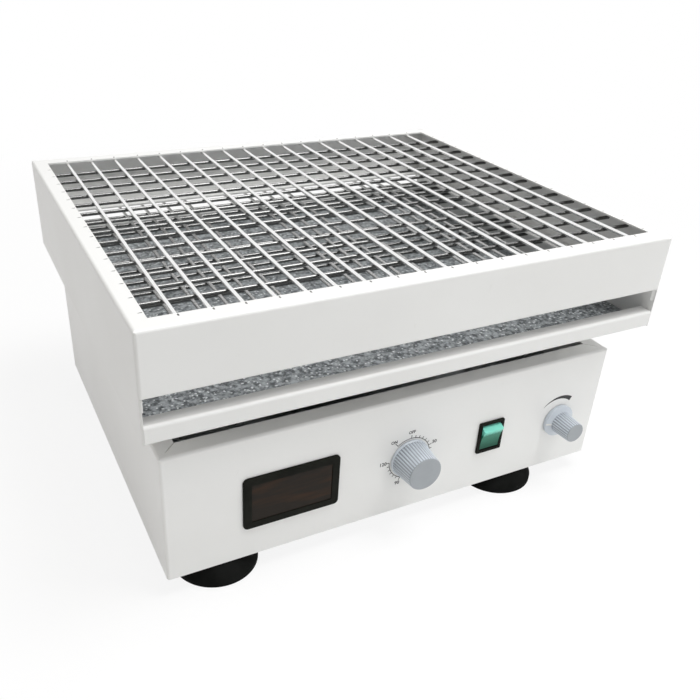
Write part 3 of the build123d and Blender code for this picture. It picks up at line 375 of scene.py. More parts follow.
@dataclass(frozen=True)
class Hammertone(Finish):
    """Grey hammered enamel: dark pools between pale raised specks."""

    pool: Colour = (0.11, 0.122, 0.13)
    middle: Colour = (0.50, 0.53, 0.55)
    tone_band: Span = (0.38, 0.62)
    speck: Colour = (0.86, 0.89, 0.90)
    speck_band: Span = (0.36, 0.2)
    chosen_band: Span = (0.3, 0.4)
    warp_reach: float = 2.2 * MM
    cell_height: float = 0.25 * MM
    roughness: Span = (0.28, 0.5)

    def shade(self, graph: Graph) -> Socket:
        """Shade speckled enamel; only some of the cells, picked by their own colour, hold a speck.

        Args:
            graph: the material's own graph.

        Returns:
            The shader socket for the material's surface.
        """
        place = graph.place()
        warp = graph.add("TexNoise", Vector=place, Scale=380.0, Detail=2.0)
        pushed = graph.add(
            "VectorMath", {"operation": "SCALE"}, i0=warp.outputs["Color"], Scale=self.warp_reach
        )
        moved = graph.add("VectorMath", {"operation": "ADD"}, i0=place, i1=pushed.outputs["Vector"])
        cells = graph.add("TexVoronoi", Vector=moved.outputs["Vector"], Scale=300.0, Randomness=1.0)
        blotch = graph.add("TexNoise", Vector=place, Scale=260.0, Detail=3.0, Roughness=0.6).outputs["Fac"]
        own = graph.add("SeparateColor", Color=cells.outputs["Color"]).outputs[0]
        near = graph.mask(cells.outputs["Distance"], self.speck_band)
        specks = graph.math("MULTIPLY", near, graph.mask(own, self.chosen_band))
        enamel = graph.tones(blotch, self.tone_band, self.pool, self.middle)
        height = graph.spread(cells.outputs["Distance"], (1.0, 0.0))
        bump = graph.add("Bump", Strength=0.9, Distance=self.cell_height, Height=height)
        return graph.surface(
            Base_Color=graph.mix(specks, enamel, self.speck),
            Metallic=0.35,
            Roughness=graph.spread(blotch, self.roughness),
            Normal=bump.outputs["Normal"],
        )


@dataclass(frozen=True)
class Metal(Finish):
    """Bare or plated metal with a fine grain and slight tarnish."""

    tone: Colour = (0.62, 0.62, 0.61)
    tarnish_and_painted_shade: Colour = (0.42, 0.42, 0.41)
    tone_band: Span = (0.3, 0.62)
    roughness: float = 0.3
    smoother: float = 0.06
    rougher: float = 0.1

    def shade(self, graph: Graph) -> Socket:
        """Shade metal with patches of tarnish.

        Args:
            graph: the material's own graph.

        Returns:
            The shader socket for the material's surface.
        """
        wear = graph.group(Effects.wear(), Patch_Scale=35.0, Mark_Scale=420.0)
        grain = graph.group(Effects.grain(), Scale=900.0, Height=0.01 * MM)
        span = (self.roughness - self.smoother, self.roughness + self.rougher)
        return graph.surface(
            Base_Color=graph.tones(wear.outputs["Patches"], self.tone_band, self.tarnish_and_painted_shade, self.tone),
            Metallic=1.0,
            Roughness=graph.spread(grain.outputs["Mask"], span),
            Normal=grain.outputs["Normal"],
        )


@dataclass(frozen=True)
class GridWire(Finish):
    """Polished wire of a welded grid: the upper layer keeps its bright tone, and the crossing layer under it
    is painted darker, as painted shade.
    """

    bright: Colour = (0.90, 0.90, 0.895)
    tarnish_and_painted_shade: Colour = (0.17, 0.17, 0.168)
    tone_band: Span = (0.1, 0.8)
    node: str = "upper_grid"
    painted_shade_band: Span = (-0.2 * MM, 0.6 * MM)
    drift: Span = (-0.12, 0.12)
    roughness: Span = (0.18, 0.32)

    def shade(self, graph: Graph) -> Socket:
        """Shade wire in two layers, told apart by their height in the grid; the lower layer gets painted
        shade.

        Args:
            graph: the material's own graph.

        Returns:
            The shader socket for the material's surface.
        """
        low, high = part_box(self.node)
        middle = (low.z + high.z) / 2
        height = graph.add("SeparateXYZ", Vector=graph.place()).outputs["Z"]
        # Painted shade: wire below the middle of the grid's height takes the darker tone.
        layer = graph.mask(height, (middle + self.painted_shade_band[0], middle + self.painted_shade_band[1]))
        wear = graph.group(Effects.wear(), Patch_Scale=35.0, Mark_Scale=420.0)
        grain = graph.group(Effects.grain(), Scale=900.0, Height=0.01 * MM)
        moved = graph.math("ADD", layer, graph.spread(wear.outputs["Patches"], self.drift))
        return graph.surface(
            Base_Color=graph.tones(moved, self.tone_band, self.tarnish_and_painted_shade, self.bright),
            Metallic=1.0,
            Roughness=graph.spread(grain.outputs["Mask"], self.roughness),
            Normal=grain.outputs["Normal"],
        )


@dataclass(frozen=True)
class Plastic(Finish):
    """Moulded plastic or rubber with spark-eroded grain."""

    tone: Colour = (0.03, 0.03, 0.032)
    shade_tone: Colour = (0.02, 0.02, 0.021)
    tone_band: Span = (0.3, 0.65)
    roughness: float = 0.45
    smoother: float = 0.07
    rougher: float = 0.08
    grain_scale: float = 1500.0
    grain_height: float = 0.02 * MM
    coat: float = 0.0
    shine: float = 0.4

    def shade(self, graph: Graph) -> Socket:
        """Shade moulded plastic.

        Args:
            graph: the material's own graph.

        Returns:
            The shader socket for the material's surface.
        """
        wear = graph.group(Effects.wear(), Patch_Scale=60.0, Mark_Scale=700.0)
        grain = graph.group(Effects.grain(), Scale=self.grain_scale, Height=self.grain_height)
        span = (self.roughness - self.smoother, self.roughness + self.rougher)
        return graph.surface(
            Base_Color=graph.tones(wear.outputs["Patches"], self.tone_band, self.shade_tone, self.tone),
            Roughness=graph.spread(grain.outputs["Mask"], span),
            Normal=grain.outputs["Normal"],
            Coat_Weight=self.coat,
            Coat_Roughness=0.12,
            Specular_IOR_Level=self.shine,
        )


@dataclass(frozen=True)
class RibbedPlastic(Finish):
    """Moulded grip with painted shade in the grooves between its ribs, which makes them darker than their
    crests.
    """

    tone: Colour = (0.58, 0.63, 0.69)
    painted_groove_shade: Colour = (0.31, 0.335, 0.375)
    node: str = "timer_knob"
    ribs: int = 40
    crest_band: Span = (-0.8, 0.5)
    base_rise: float = 2.2 * MM
    base_blend: float = 0.1 * MM
    roughness: Span = (0.24, 0.38)

    def shade(self, graph: Graph) -> Socket:
        """Paint shade into a grip's grooves, but not onto the plain skirt at its base.

        Args:
            graph: the material's own graph.

        Returns:
            The shader socket for the material's surface.
        """
        low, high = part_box(self.node)
        place = graph.place()
        axis = ((low.x + high.x) / 2, 0.0, (low.z + high.z) / 2)
        own = graph.add("VectorMath", {"operation": "SUBTRACT"}, i0=place, i1=axis)
        axes = graph.add("SeparateXYZ", Vector=own.outputs["Vector"]).outputs
        angle = graph.math("ARCTAN2", axes["Z"], axes["X"])
        # Painted shade: the grooves between the ribs take the darker tone, while the crests and the plain
        # skirt keep the grip's own tone.
        wave = graph.math("COSINE", graph.math("MULTIPLY", angle, float(self.ribs)))
        edge = high.y - self.base_rise
        skirt = graph.mask(axes["Y"], (edge - self.base_blend, edge + self.base_blend))
        crest = graph.math("MAXIMUM", graph.mask(wave, self.crest_band), skirt)
        grain = graph.group(Effects.grain(), Scale=1500.0, Height=0.01 * MM)
        return graph.surface(
            Base_Color=graph.tones(crest, (0.0, 1.0), self.painted_groove_shade, self.tone),
            Roughness=graph.spread(grain.outputs["Mask"], self.roughness),
            Normal=grain.outputs["Normal"],
            Coat_Weight=0.25,
            Coat_Roughness=0.15,
        )


@dataclass(frozen=True)
class RockerLens(Finish):
    """Clear green rocker, painted darker at the foot as painted shade and paler on its upper half as a
    painted highlight from the light above.
    """

    node: str = "rocker"
    drift: Span = (-0.09, 0.09)
    painted_light_stops: Stops = (
        (0.06, (0.006, 0.085, 0.050)),
        (0.5, (0.02, 0.20, 0.125)),
        (0.62, (0.02, 0.20, 0.125)),
        (0.78, (0.22, 0.74, 0.60)),
    )

    def shade(self, graph: Graph) -> Socket:
        """Paint shade and highlight on a clear moulding by the height on it.

        Args:
            graph: the material's own graph.

        Returns:
            The shader socket for the material's surface.
        """
        low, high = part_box(self.node)
        place = graph.place()
        # Painted light: the colour runs from deep green at the foot, a painted shade, to pale green at the
        # top, a painted highlight.
        rise = graph.mask(graph.add("SeparateXYZ", Vector=place).outputs["Z"], (low.z, high.z))
        painted_light_noise = graph.add("TexNoise", Vector=place, Scale=420.0, Detail=2.0)
        moved = graph.math("ADD", rise, graph.spread(painted_light_noise.outputs["Fac"], self.drift))
        colour = graph.ramp(moved, self.painted_light_stops)
        return graph.surface(Base_Color=colour, Roughness=0.35, Specular_IOR_Level=0.2, Coat_Weight=0.1)


@dataclass(frozen=True)
class SmokedWindow(Finish):
    """Dark red filter pane that lets little light through, with faint streaks of a painted reflection across
    it.
    """

    tone: Colour = (0.024, 0.019, 0.015)
    glint: Colour = (0.050, 0.026, 0.014)
    tone_band: Span = (0.48, 0.78)
    glint_stretch: Triple = (0.6, 1.0, 4.0)
    roughness: Span = (0.06, 0.16)

    def shade(self, graph: Graph) -> Socket:
        """Shade a smoked pane.

        Args:
            graph: the material's own graph.

        Returns:
            The shader socket for the material's surface.
        """
        long = graph.add("Mapping", Vector=graph.place(), Scale=self.glint_stretch).outputs["Vector"]
        # Painted reflection: stretched noise streaks the pane's tone towards the glint colour; the same noise
        # also sets the roughness.
        painted_light_noise = graph.add("TexNoise", Vector=long, Scale=34.0, Detail=2.0, Distortion=0.2).outputs["Fac"]
        grain = graph.group(Effects.grain(), Scale=260.0, Height=0.006 * MM)
        return graph.surface(
            Base_Color=graph.tones(painted_light_noise, self.tone_band, self.tone, self.glint),
            Roughness=graph.spread(painted_light_noise, self.roughness),
            Normal=grain.outputs["Normal"],
            Transmission_Weight=0.1,
            Specular_IOR_Level=0.06,
        )


@dataclass(frozen=True)
class Ink(Finish):
    """Screen-printed ink with slightly uneven cover."""

    tone: Colour = (0.012, 0.012, 0.013)
    thin: Colour = (0.032, 0.032, 0.034)
    tone_band: Span = (0.35, 0.75)

    def shade(self, graph: Graph) -> Socket:
        """Shade printed ink.

        Args:
            graph: the material's own graph.

        Returns:
            The shader socket for the material's surface.
        """
        grain = graph.group(Effects.grain(), Scale=2600.0, Height=0.004 * MM)
        colour = graph.tones(grain.outputs["Mask"], self.tone_band, self.tone, self.thin)
        return graph.surface(Base_Color=colour, Roughness=0.5, Normal=grain.outputs["Normal"])


class Look(Enum):
    """The finishes of this object's solids and added pieces."""

    CASE = PowderCoat("case_powder_coat")
    TRAY = PowderCoat("tray_powder_coat", tone=(0.82, 0.82, 0.81), shade_tone=(0.79, 0.788, 0.775))
    MOTOR = PowderCoat(
        "motor_enamel", tone=(0.05, 0.055, 0.06), shade_tone=(0.035, 0.038, 0.042), mark_tone=(0.1, 0.1, 0.1)
    )
    DECK = Hammertone("deck_hammertone")
    UPPER_WIRE = GridWire("upper_wire")
    # The lower grid is the same wire as the upper one, painted darker throughout as painted shade, since it
    # lies under the upper grid.
    LOWER_WIRE = GridWire("lower_wire", bright=(0.62, 0.62, 0.615), node="lower_grid")
    ZINC = Metal("zinc_sheet", tone=(0.55, 0.56, 0.57), tarnish_and_painted_shade=(0.4, 0.41, 0.42), roughness=0.38)
    STEEL = Metal("lathe_steel", tone=(0.52, 0.52, 0.53), tarnish_and_painted_shade=(0.36, 0.36, 0.37), roughness=0.28)
    BEARING = Metal("ground_steel", tone=(0.66, 0.66, 0.68), tarnish_and_painted_shade=(0.52, 0.52, 0.54), roughness=0.18)
    CAST = Metal("cast_alloy", tone=(0.62, 0.63, 0.64), tarnish_and_painted_shade=(0.48, 0.49, 0.5), roughness=0.45)
    SCREW = Metal("black_screws", tone=(0.16, 0.16, 0.165), tarnish_and_painted_shade=(0.09, 0.09, 0.095), roughness=0.36)
    NICKEL = Metal("nickel_plate", tone=(0.68, 0.67, 0.64), tarnish_and_painted_shade=(0.55, 0.54, 0.51), roughness=0.22)
    # Dark colour of the small raised marks on the tray's rim.
    DARK_RIM_MARK = Metal("dark_rim_mark", tone=(0.16, 0.15, 0.145), tarnish_and_painted_shade=(0.05, 0.048, 0.045), roughness=0.55)
    RUBBER = Plastic(
        "foot_moulding", tone=(0.010, 0.0105, 0.010), shade_tone=(0.005, 0.0055, 0.005),
        roughness=0.7, grain_scale=900.0, grain_height=0.03 * MM, shine=0.03,
    )
    BELT = Plastic("belt_compound", tone=(0.02, 0.02, 0.02), shade_tone=(0.012, 0.012, 0.012), roughness=0.65)
    BLACK = Plastic(
        "panel_plastic", tone=(0.017, 0.0175, 0.0145), shade_tone=(0.011, 0.0115, 0.0095),
        roughness=0.5, shine=0.03,
    )
    BOARD = Plastic("circuit_board", tone=(0.03, 0.15, 0.07), shade_tone=(0.02, 0.1, 0.05), roughness=0.35)
    CAP = Plastic(
        "cap_plastic", tone=(0.36, 0.385, 0.41), shade_tone=(0.325, 0.35, 0.375), roughness=0.36, coat=0.1
    )
    SEGMENT = Plastic("led_segment", tone=(0.42, 0.4, 0.36), shade_tone=(0.34, 0.32, 0.28), roughness=0.5)
    TIMER_GRIP = RibbedPlastic("timer_grip")
    SPEED_GRIP = RibbedPlastic("speed_grip", node="speed_knob", ribs=26, base_rise=5.0 * MM)
    ROCKER = RockerLens("rocker_lens")
    WINDOW = SmokedWindow("display_filter")
    INK = Ink("black_ink")
    WHITE_INK = Ink("white_ink", tone=(0.82, 0.82, 0.8), thin=(0.7, 0.7, 0.68))


class Sheet:
    """One bmesh that becomes one finished piece riding on a body."""

    ripple: float = 0.12
    ripple_waves: Span = (5.0, 7.0)
    ripple_phase: float = 3.0

    def __init__(self) -> None:
        """Start empty."""
        self.mesh = bmesh.new()

    def box(self, centre: Vector, size: Vector, turn: Matrix | None = None, bevel: float = 0.0) -> None:
        """Add a block, its edges bevelled if asked.

        Args:
            centre: middle of the block in metres.
            size: full sizes in metres.
            turn: rotation about the block's own middle.
            bevel: bevel width in metres.
        """
        made = bmesh.ops.create_cube(self.mesh, size=1.0)["verts"]
        bmesh.ops.scale(self.mesh, vec=size, verts=made)
        if bevel > 0:
            edges = {edge for vert in made for edge in vert.link_edges}
            result = bmesh.ops.bevel(
                self.mesh, geom=list(edges), offset=bevel, offset_type="OFFSET", segments=2,
                profile=0.5, affect="EDGES", material=-1, clamp_overlap=True,
            )
            bevelled = {vert for face in result["faces"] for vert in face.verts}
            made = list(bevelled | {vert for vert in made if vert.is_valid})
        if turn is not None:
            bmesh.ops.rotate(self.mesh, cent=(0, 0, 0), matrix=turn.to_3x3(), verts=made)
        bmesh.ops.translate(self.mesh, vec=centre, verts=made)

    def nugget(self, centre: Vector, size: Vector) -> None:
        """Add a flattened weld blob with a rippled outline.

        Args:
            centre: middle of the blob in metres.
            size: full sizes in metres.
        """
        made = bmesh.ops.create_icosphere(self.mesh, subdivisions=2, radius=0.5)["verts"]
        bmesh.ops.scale(self.mesh, vec=size, verts=made)
        for vert in made:
            along = math.sin(self.ripple_waves[0] * vert.co.x / size.x + self.ripple_phase)
            across = math.cos(self.ripple_waves[1] * vert.co.y / size.y)
            vert.co *= 1 + self.ripple * along * across
        bmesh.ops.translate(self.mesh, vec=centre, verts=made)

    def finish(self, name: str, look: Look, body: str, smooth: bool = False) -> bpy.types.Object:
        """Turn the bmesh into an object that rides on a body.

        Args:
            name: piece name.
            look: finish.
            body: CAD body.
            smooth: shade smooth.

        Returns:
            The object.
        """
        bmesh.ops.recalc_face_normals(self.mesh, faces=self.mesh.faces)
        data = bpy.data.meshes.new(name)
        self.mesh.to_mesh(data)
        self.mesh.free()
        if smooth:
            data.shade_smooth()
        data.materials.append(look.value.material())
        piece = placed(name, data)
        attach(piece, body)
        LOG.info("piece %s on %s", name, body)
        return piece


class Assembly:
    """A sub-assembly: it dresses its own solids and adds the small pieces on them."""

    def looks(self) -> dict[Look, tuple[str, ...]]:
        """Name this sub-assembly's CAD nodes by their finish."""
        raise NotImplementedError

    def dress(self, nodes: dict[str, bpy.types.Object]) -> int:
        """Give this sub-assembly's solids their finishes.

        Args:
            nodes: every CAD node by name.

        Returns:
            How many nodes were dressed.
        """
        count = 0
        for look, names in self.looks().items():
            for name in names:
                data = nodes[name].data
                data.materials.clear()
                data.materials.append(look.value.material())
            count += len(names)
            LOG.info("%s on %s", look.value.name, ", ".join(names))
        return count

    def build(self) -> None:
        """Add the small pieces; a plain sub-assembly has none."""


class Case(Assembly):
    """Sheet-metal case on four feet, with its chassis, boards and mains inlet."""

    def looks(self) -> dict[Look, tuple[str, ...]]:
        """Name the case's CAD nodes by their finish.

        Returns:
            The node names of each finish.
        """
        return {
            Look.CASE: ("front_panel", "rear_panel", "left_panel", "right_panel"),
            Look.RUBBER: ("foot_front_left", "foot_front_right", "foot_rear_left", "foot_rear_right"),
            Look.ZINC: ("bottom_pan", "chassis_plate", "chassis_rails"),
            Look.SCREW: ("case_screws",),
            Look.NICKEL: ("panel_nuts",),
            Look.BLACK: ("power_inlet",),
            Look.BOARD: ("control_board",),
        }


class Drive(Assembly):
    """Motor, belt, eccentric shaft with its counterweight, and the four idler cranks."""

    def looks(self) -> dict[Look, tuple[str, ...]]:
        """Name the drive's CAD nodes by their finish.

        Returns:
            The node names of each finish.
        """
        corners = ("front_left", "front_right", "rear_left", "rear_right")
        return {
            Look.STEEL: ("eccentric_shaft", "motor_shaft", *("idler_crank_" + corner for corner in corners)),
            Look.BEARING: ("main_outer_races", "main_inner_races", "idler_bearings"),
            Look.CAST: ("main_bearing_housing", "idler_bearing_housings", "main_pulley", "motor_pulley"),
            Look.ZINC: ("counterweight",),
            Look.SCREW: ("counterweight_screws",),
            Look.MOTOR: ("motor",),
            Look.BELT: ("drive_belt",),
        }


@dataclass
class Tray(Assembly):
    """Tray with its two grids, deck and carrier, and small dark marks along its rim."""

    long_pitch: float = 22.75 * MM
    long_count: int = 18
    long_edge: float = 12.4 * MM
    long_wander: float = 0.5 * MM
    long_beat: float = 2.3
    cross_pitch: float = 22.8 * MM
    cross_count: int = 15
    cross_edge: float = 10.8 * MM
    cross_wander: float = 0.4 * MM
    cross_beat: float = 1.7
    rear_inset: float = 37.0 * MM
    mark: Triple = (1.8 * MM, 4.2 * MM, 0.10 * MM)
    cross_mark: Triple = (4.2 * MM, 1.26 * MM, 0.10 * MM)
    rise: float = 0.02 * MM

    def looks(self) -> dict[Look, tuple[str, ...]]:
        """Name the tray's CAD nodes by their finish.

        Returns:
            The node names of each finish.
        """
        bands = ("front_band", "rear_band", "left_side_panel", "right_side_panel")
        return {
            Look.TRAY: (*bands, "grid_ledges", "lower_pan"),
            Look.DECK: ("deck_sheet",),
            Look.UPPER_WIRE: ("upper_grid",),
            Look.LOWER_WIRE: ("lower_grid",),
            Look.ZINC: ("carrier_plate",),
            Look.CAST: ("platform_bearing_cups",),
            Look.BEARING: ("platform_bearings",),
            Look.SCREW: ("carrier_bolts",),
        }

    def build(self) -> None:
        """Lay a small dark raised mark on the rim over each end of each wire."""
        low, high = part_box("left_side_panel")[0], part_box("right_side_panel")[1]
        front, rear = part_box("front_band")[0].y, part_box("rear_band")[1].y
        top = high.z + self.rise - self.mark[2] / 2
        first = (low.x + high.x) / 2 - self.long_pitch * (self.long_count - 1) / 2
        sheet = Sheet()
        for i in range(self.long_count):
            wander = self.long_wander * math.sin(i * self.long_beat)
            x = first + i * self.long_pitch + wander
            for y in (front + self.long_edge, rear - self.long_edge):
                sheet.nugget(Vector((x, y, top)), Vector(self.mark))
        for j in range(self.cross_count):
            wander = self.cross_wander * math.sin(j * self.cross_beat)
            y = rear - self.rear_inset - j * self.cross_pitch + wander
            for x in (low.x + self.cross_edge, high.x - self.cross_edge):
                sheet.nugget(Vector((x, y, top)), Vector(self.cross_mark))
        sheet.finish("rim_dark_marks", Look.DARK_RIM_MARK, "platform", smooth=True)


@dataclass
class Display(Assembly):
    """Speed display: bezel, smoked window and board, with unlit seven-segment figures."""

    digits: int = 4
    pitch: float = 14.0 * MM
    height: float = 14.0 * MM
    width: float = 7.6 * MM
    stroke: float = 1.5 * MM
    joint_gap: float = 1.8 * MM
    thickness: float = 0.1 * MM
    rounding: float = 0.03 * MM

    def looks(self) -> dict[Look, tuple[str, ...]]:
        """Name the display's CAD nodes by their finish.

        Returns:
            The node names of each finish.
        """
        return {
            Look.BLACK: ("display_bezel",),
            Look.WINDOW: ("display_window",),
            Look.BOARD: ("display_board",),
        }

    def build(self) -> None:
        """Lay the segments on the fronts of the digit blocks."""
        low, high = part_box("display_board")
        middle = Vector(((low.x + high.x) / 2, low.y, (low.z + high.z) / 2))
        level_bar = Vector((self.width - self.stroke, self.thickness, self.stroke))
        upright_bar = Vector((self.stroke, self.thickness, self.height / 2 - self.joint_gap))
        sheet = Sheet()
        for i in range(self.digits):
            digit = middle + Vector(((i - (self.digits - 1) / 2) * self.pitch, 0, 0))
            for level in (-1, 0, 1):
                sheet.box(digit + Vector((0, 0, level * self.height / 2)), level_bar, bevel=self.rounding)
            for side in (-1, 1):
                for half in (-1, 1):
                    offset = Vector((side * self.width / 2, 0, half * self.height / 4))
                    sheet.box(digit + offset, upright_bar, bevel=self.rounding)
        sheet.finish("display_segments", Look.SEGMENT, "case")


@dataclass
class PanelControl(Assembly):
    """A knob on the front panel with print around it."""

    knob: str
    ink_height: float = 0.04 * MM
    band_step: float = 4.0

    def centre(self) -> Vector:
        """Find the middle of the print on the panel's face, behind the knob.

        Returns:
            The point, in front of the face by half the ink's height.
        """
        low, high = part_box(self.knob)
        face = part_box("front_panel")[0].y
        return Vector(((low.x + high.x) / 2, face - self.ink_height / 2, (low.z + high.z) / 2))

    def on_dial(self, angle: float, radius: float) -> Vector:
        """Find a point of the print.

        Args:
            angle: degrees clockwise from the top.
            radius: distance from the middle in metres.

        Returns:
            The point.
        """
        turn = math.radians(angle)
        return self.centre() + Vector((math.sin(turn) * radius, 0, math.cos(turn) * radius))

    def band(
        self, sheet: Sheet, start: float, end: float, outer: float, width: float, growth: float = 0.0
    ) -> None:
        """Sweep a flat printed band clockwise and give it the ink's thickness.

        Args:
            sheet: empty piece to sweep the band in.
            start: clock angle where the band begins.
            end: clock angle where it ends.
            outer: outer radius.
            width: width at the start.
            growth: how much wider it is at the end.
        """
        centre = self.centre()
        first = [sheet.mesh.verts.new(self.on_dial(start, radius)) for radius in (outer - width, outer)]
        edge = sheet.mesh.edges.new(first)
        bmesh.ops.spin(
            sheet.mesh, geom=[*first, edge], cent=centre, axis=(0, 1, 0),
            angle=math.radians(end - start), steps=int((end - start) / self.band_step),
        )
        inner = [vert for vert in sheet.mesh.verts if (vert.co - centre).length < outer - width / 2]
        for vert in inner if growth else []:
            offset = vert.co - centre
            share = (math.degrees(math.atan2(offset.x, offset.z)) - start) / (end - start)
            vert.co = centre + offset.normalized() * (outer - width - growth * share)
        bmesh.ops.solidify(sheet.mesh, geom=list(sheet.mesh.faces), thickness=self.ink_height)


@dataclass
class Timer(PanelControl):
    """Timer with its knob, and the arc, ticks, figures and two words printed around it."""

    knob: str = "timer_knob"
    arc_radius: float = 19.6 * MM
    arc_width: float = 0.6 * MM
    on_angle: float = -40.0
    sweep: float = 270.0
    spaces: int = 24
    spaces_per_label: int = 6
    tick_length: float = 2.2 * MM
    tick_width: float = 0.6 * MM
    label_tick: float = 1.4
    on_tick: float = 1.7
    labels: dict[str, float] = field(
        default_factory=lambda: {"ON": -40.0, "OFF": 0.0, "30": 67.5, "60": 135.0, "90": 202.5, "120": 270.0}
    )
    label_radius: float = 25.2 * MM
    label_size: float = 4.6 * MM
    word_share: float = 0.82
    label_weight: float = 0.12 * MM

    def looks(self) -> dict[Look, tuple[str, ...]]:
        """Name the timer's CAD nodes by their finish.

        Returns:
            The node names of each finish.
        """
        return {
            Look.BLACK: ("timer_body",),
            Look.STEEL: ("timer_shaft",),
            Look.TIMER_GRIP: ("timer_knob",),
            Look.CAP: ("timer_knob_cap",),
        }

    def scale(self) -> None:
        """Print the arc and its ticks, longer at the figures and longest at ON."""
        sheet = Sheet()
        self.band(sheet, self.on_angle, self.sweep, self.arc_radius, self.arc_width)
        ticks = [(self.on_angle, self.on_tick)]
        for i in range(self.spaces + 1):
            stretch = 1.0 if i % self.spaces_per_label else self.label_tick
            ticks.append((self.sweep * i / self.spaces, stretch))
        for angle, stretch in ticks:
            length = self.tick_length * stretch
            middle = self.on_dial(angle, self.arc_radius + length / 2 - self.arc_width / 2)
            turn = Matrix.Rotation(math.radians(angle), 4, "Y")
            sheet.box(middle, Vector((self.tick_width, self.ink_height, length)), turn)
        sheet.finish("timer_scale", Look.INK, "case")

    def label(self, word: str, angle: float) -> None:
        """Print one upright word or figure.

        Args:
            word: what it says.
            angle: degrees clockwise from the top.
        """
        curve = bpy.data.curves.new("label_" + word, "FONT")
        curve.body = word
        curve.size = self.label_size * (self.word_share if word.isalpha() else 1.0)
        curve.align_x = "CENTER"
        curve.align_y = "CENTER"
        curve.extrude = self.ink_height / 2
        curve.offset = self.label_weight
        curve.resolution_u = 3
        temporary = placed("label_" + word, curve)
        bpy.context.view_layer.update()
        data = bpy.data.meshes.new_from_object(temporary)
        bpy.data.objects.remove(temporary)
        upright = Matrix.Rotation(math.radians(90), 4, "X")
        data.transform(Matrix.Translation(self.on_dial(angle, self.label_radius)) @ upright)
        data.materials.clear()
        data.materials.append(Look.INK.value.material())
        piece = placed("timer_label_" + word, data)
        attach(piece, "case")
        LOG.info("piece %s on case", piece.name)

    def build(self) -> None:
        """Print the scale and then its words and figures."""
        self.scale()
        for word, angle in self.labels.items():
            self.label(word, angle)


@dataclass
class SpeedControl(PanelControl):
    """Speed control: knob with a pointer line on its skirt, under a wedge-shaped printed arc."""

    knob: str = "speed_knob"
    wedge_outer: float = 25.0 * MM
    wedge_thin: float = 0.15 * MM
    wedge_growth: float = 4.35 * MM
    wedge_start: float = -48.6
    wedge_end: float = 31.0
    skirt_radius: float = 15.4 * MM
    grip_radius: float = 10.4 * MM
    skirt_rise: float = 5.0 * MM
    skirt_slope: float = 2.0 * MM
    knob_gap: float = 0.5 * MM
    line_width: float = 1.5 * MM
    line_height: float = 0.3 * MM
    line_rounding: float = 0.1 * MM

    def looks(self) -> dict[Look, tuple[str, ...]]:
        """Name the speed control's CAD nodes by their finish.

        Returns:
            The node names of each finish.
        """
        return {
            Look.ZINC: ("speed_potentiometer",),
            Look.STEEL: ("speed_shaft",),
            Look.SPEED_GRIP: ("speed_knob",),
            Look.CAP: ("speed_knob_cap",),
        }

    def wedge(self) -> None:
        """Print the arc that grows towards full speed."""
        sheet = Sheet()
        self.band(
            sheet, self.wedge_start, self.wedge_end, self.wedge_outer, self.wedge_thin, self.wedge_growth
        )
        sheet.finish("speed_wedge", Look.INK, "case")

    def pointer(self) -> None:
        """Lay the white line down the skirt's slope, at nine o'clock at rest."""
        low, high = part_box(self.knob)
        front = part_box("front_panel")[0].y - self.knob_gap - self.skirt_rise
        middle = Vector((
            (low.x + high.x) / 2 - (self.skirt_radius + self.grip_radius) / 2,
            front + self.skirt_slope / 2,
            (low.z + high.z) / 2,
        ))
        length = self.skirt_radius - self.grip_radius
        size = Vector((math.hypot(length, self.skirt_slope), self.line_height, self.line_width))
        lean = Matrix.Rotation(-math.atan2(self.skirt_slope, length), 4, "Z")
        sheet = Sheet()
        sheet.box(middle, size, lean, bevel=self.line_rounding)
        sheet.finish("speed_pointer", Look.WHITE_INK, "speed_control")

    def build(self) -> None:
        """Print the wedge on the panel and the pointer on the knob."""
        self.wedge()
        self.pointer()


class PowerSwitch(Assembly):
    """Lit rocker switch in its housing."""

    def looks(self) -> dict[Look, tuple[str, ...]]:
        """Name the switch's CAD nodes by their finish."""
        return {Look.BLACK: ("switch_housing",), Look.ROCKER: ("rocker",)}


@dataclass(frozen=True)
class Lamp:
    """Square soft light aimed at one point."""

    name: str
    place: Triple
    size: float
    power: float
    colour: Colour

    def hang(self, aim: Vector) -> None:
        """Put the light in the scene.

        Args:
            aim: point it faces.
        """
        data = bpy.data.lights.new(self.name, "AREA")
        data.shape = "SQUARE"
        data.size = self.size
        data.energy = self.power
        data.color = self.colour
        item = placed(self.name, data)
        item.location = self.place
        item.rotation_euler = (aim - Vector(self.place)).to_track_quat("-Z", "Y").to_euler()


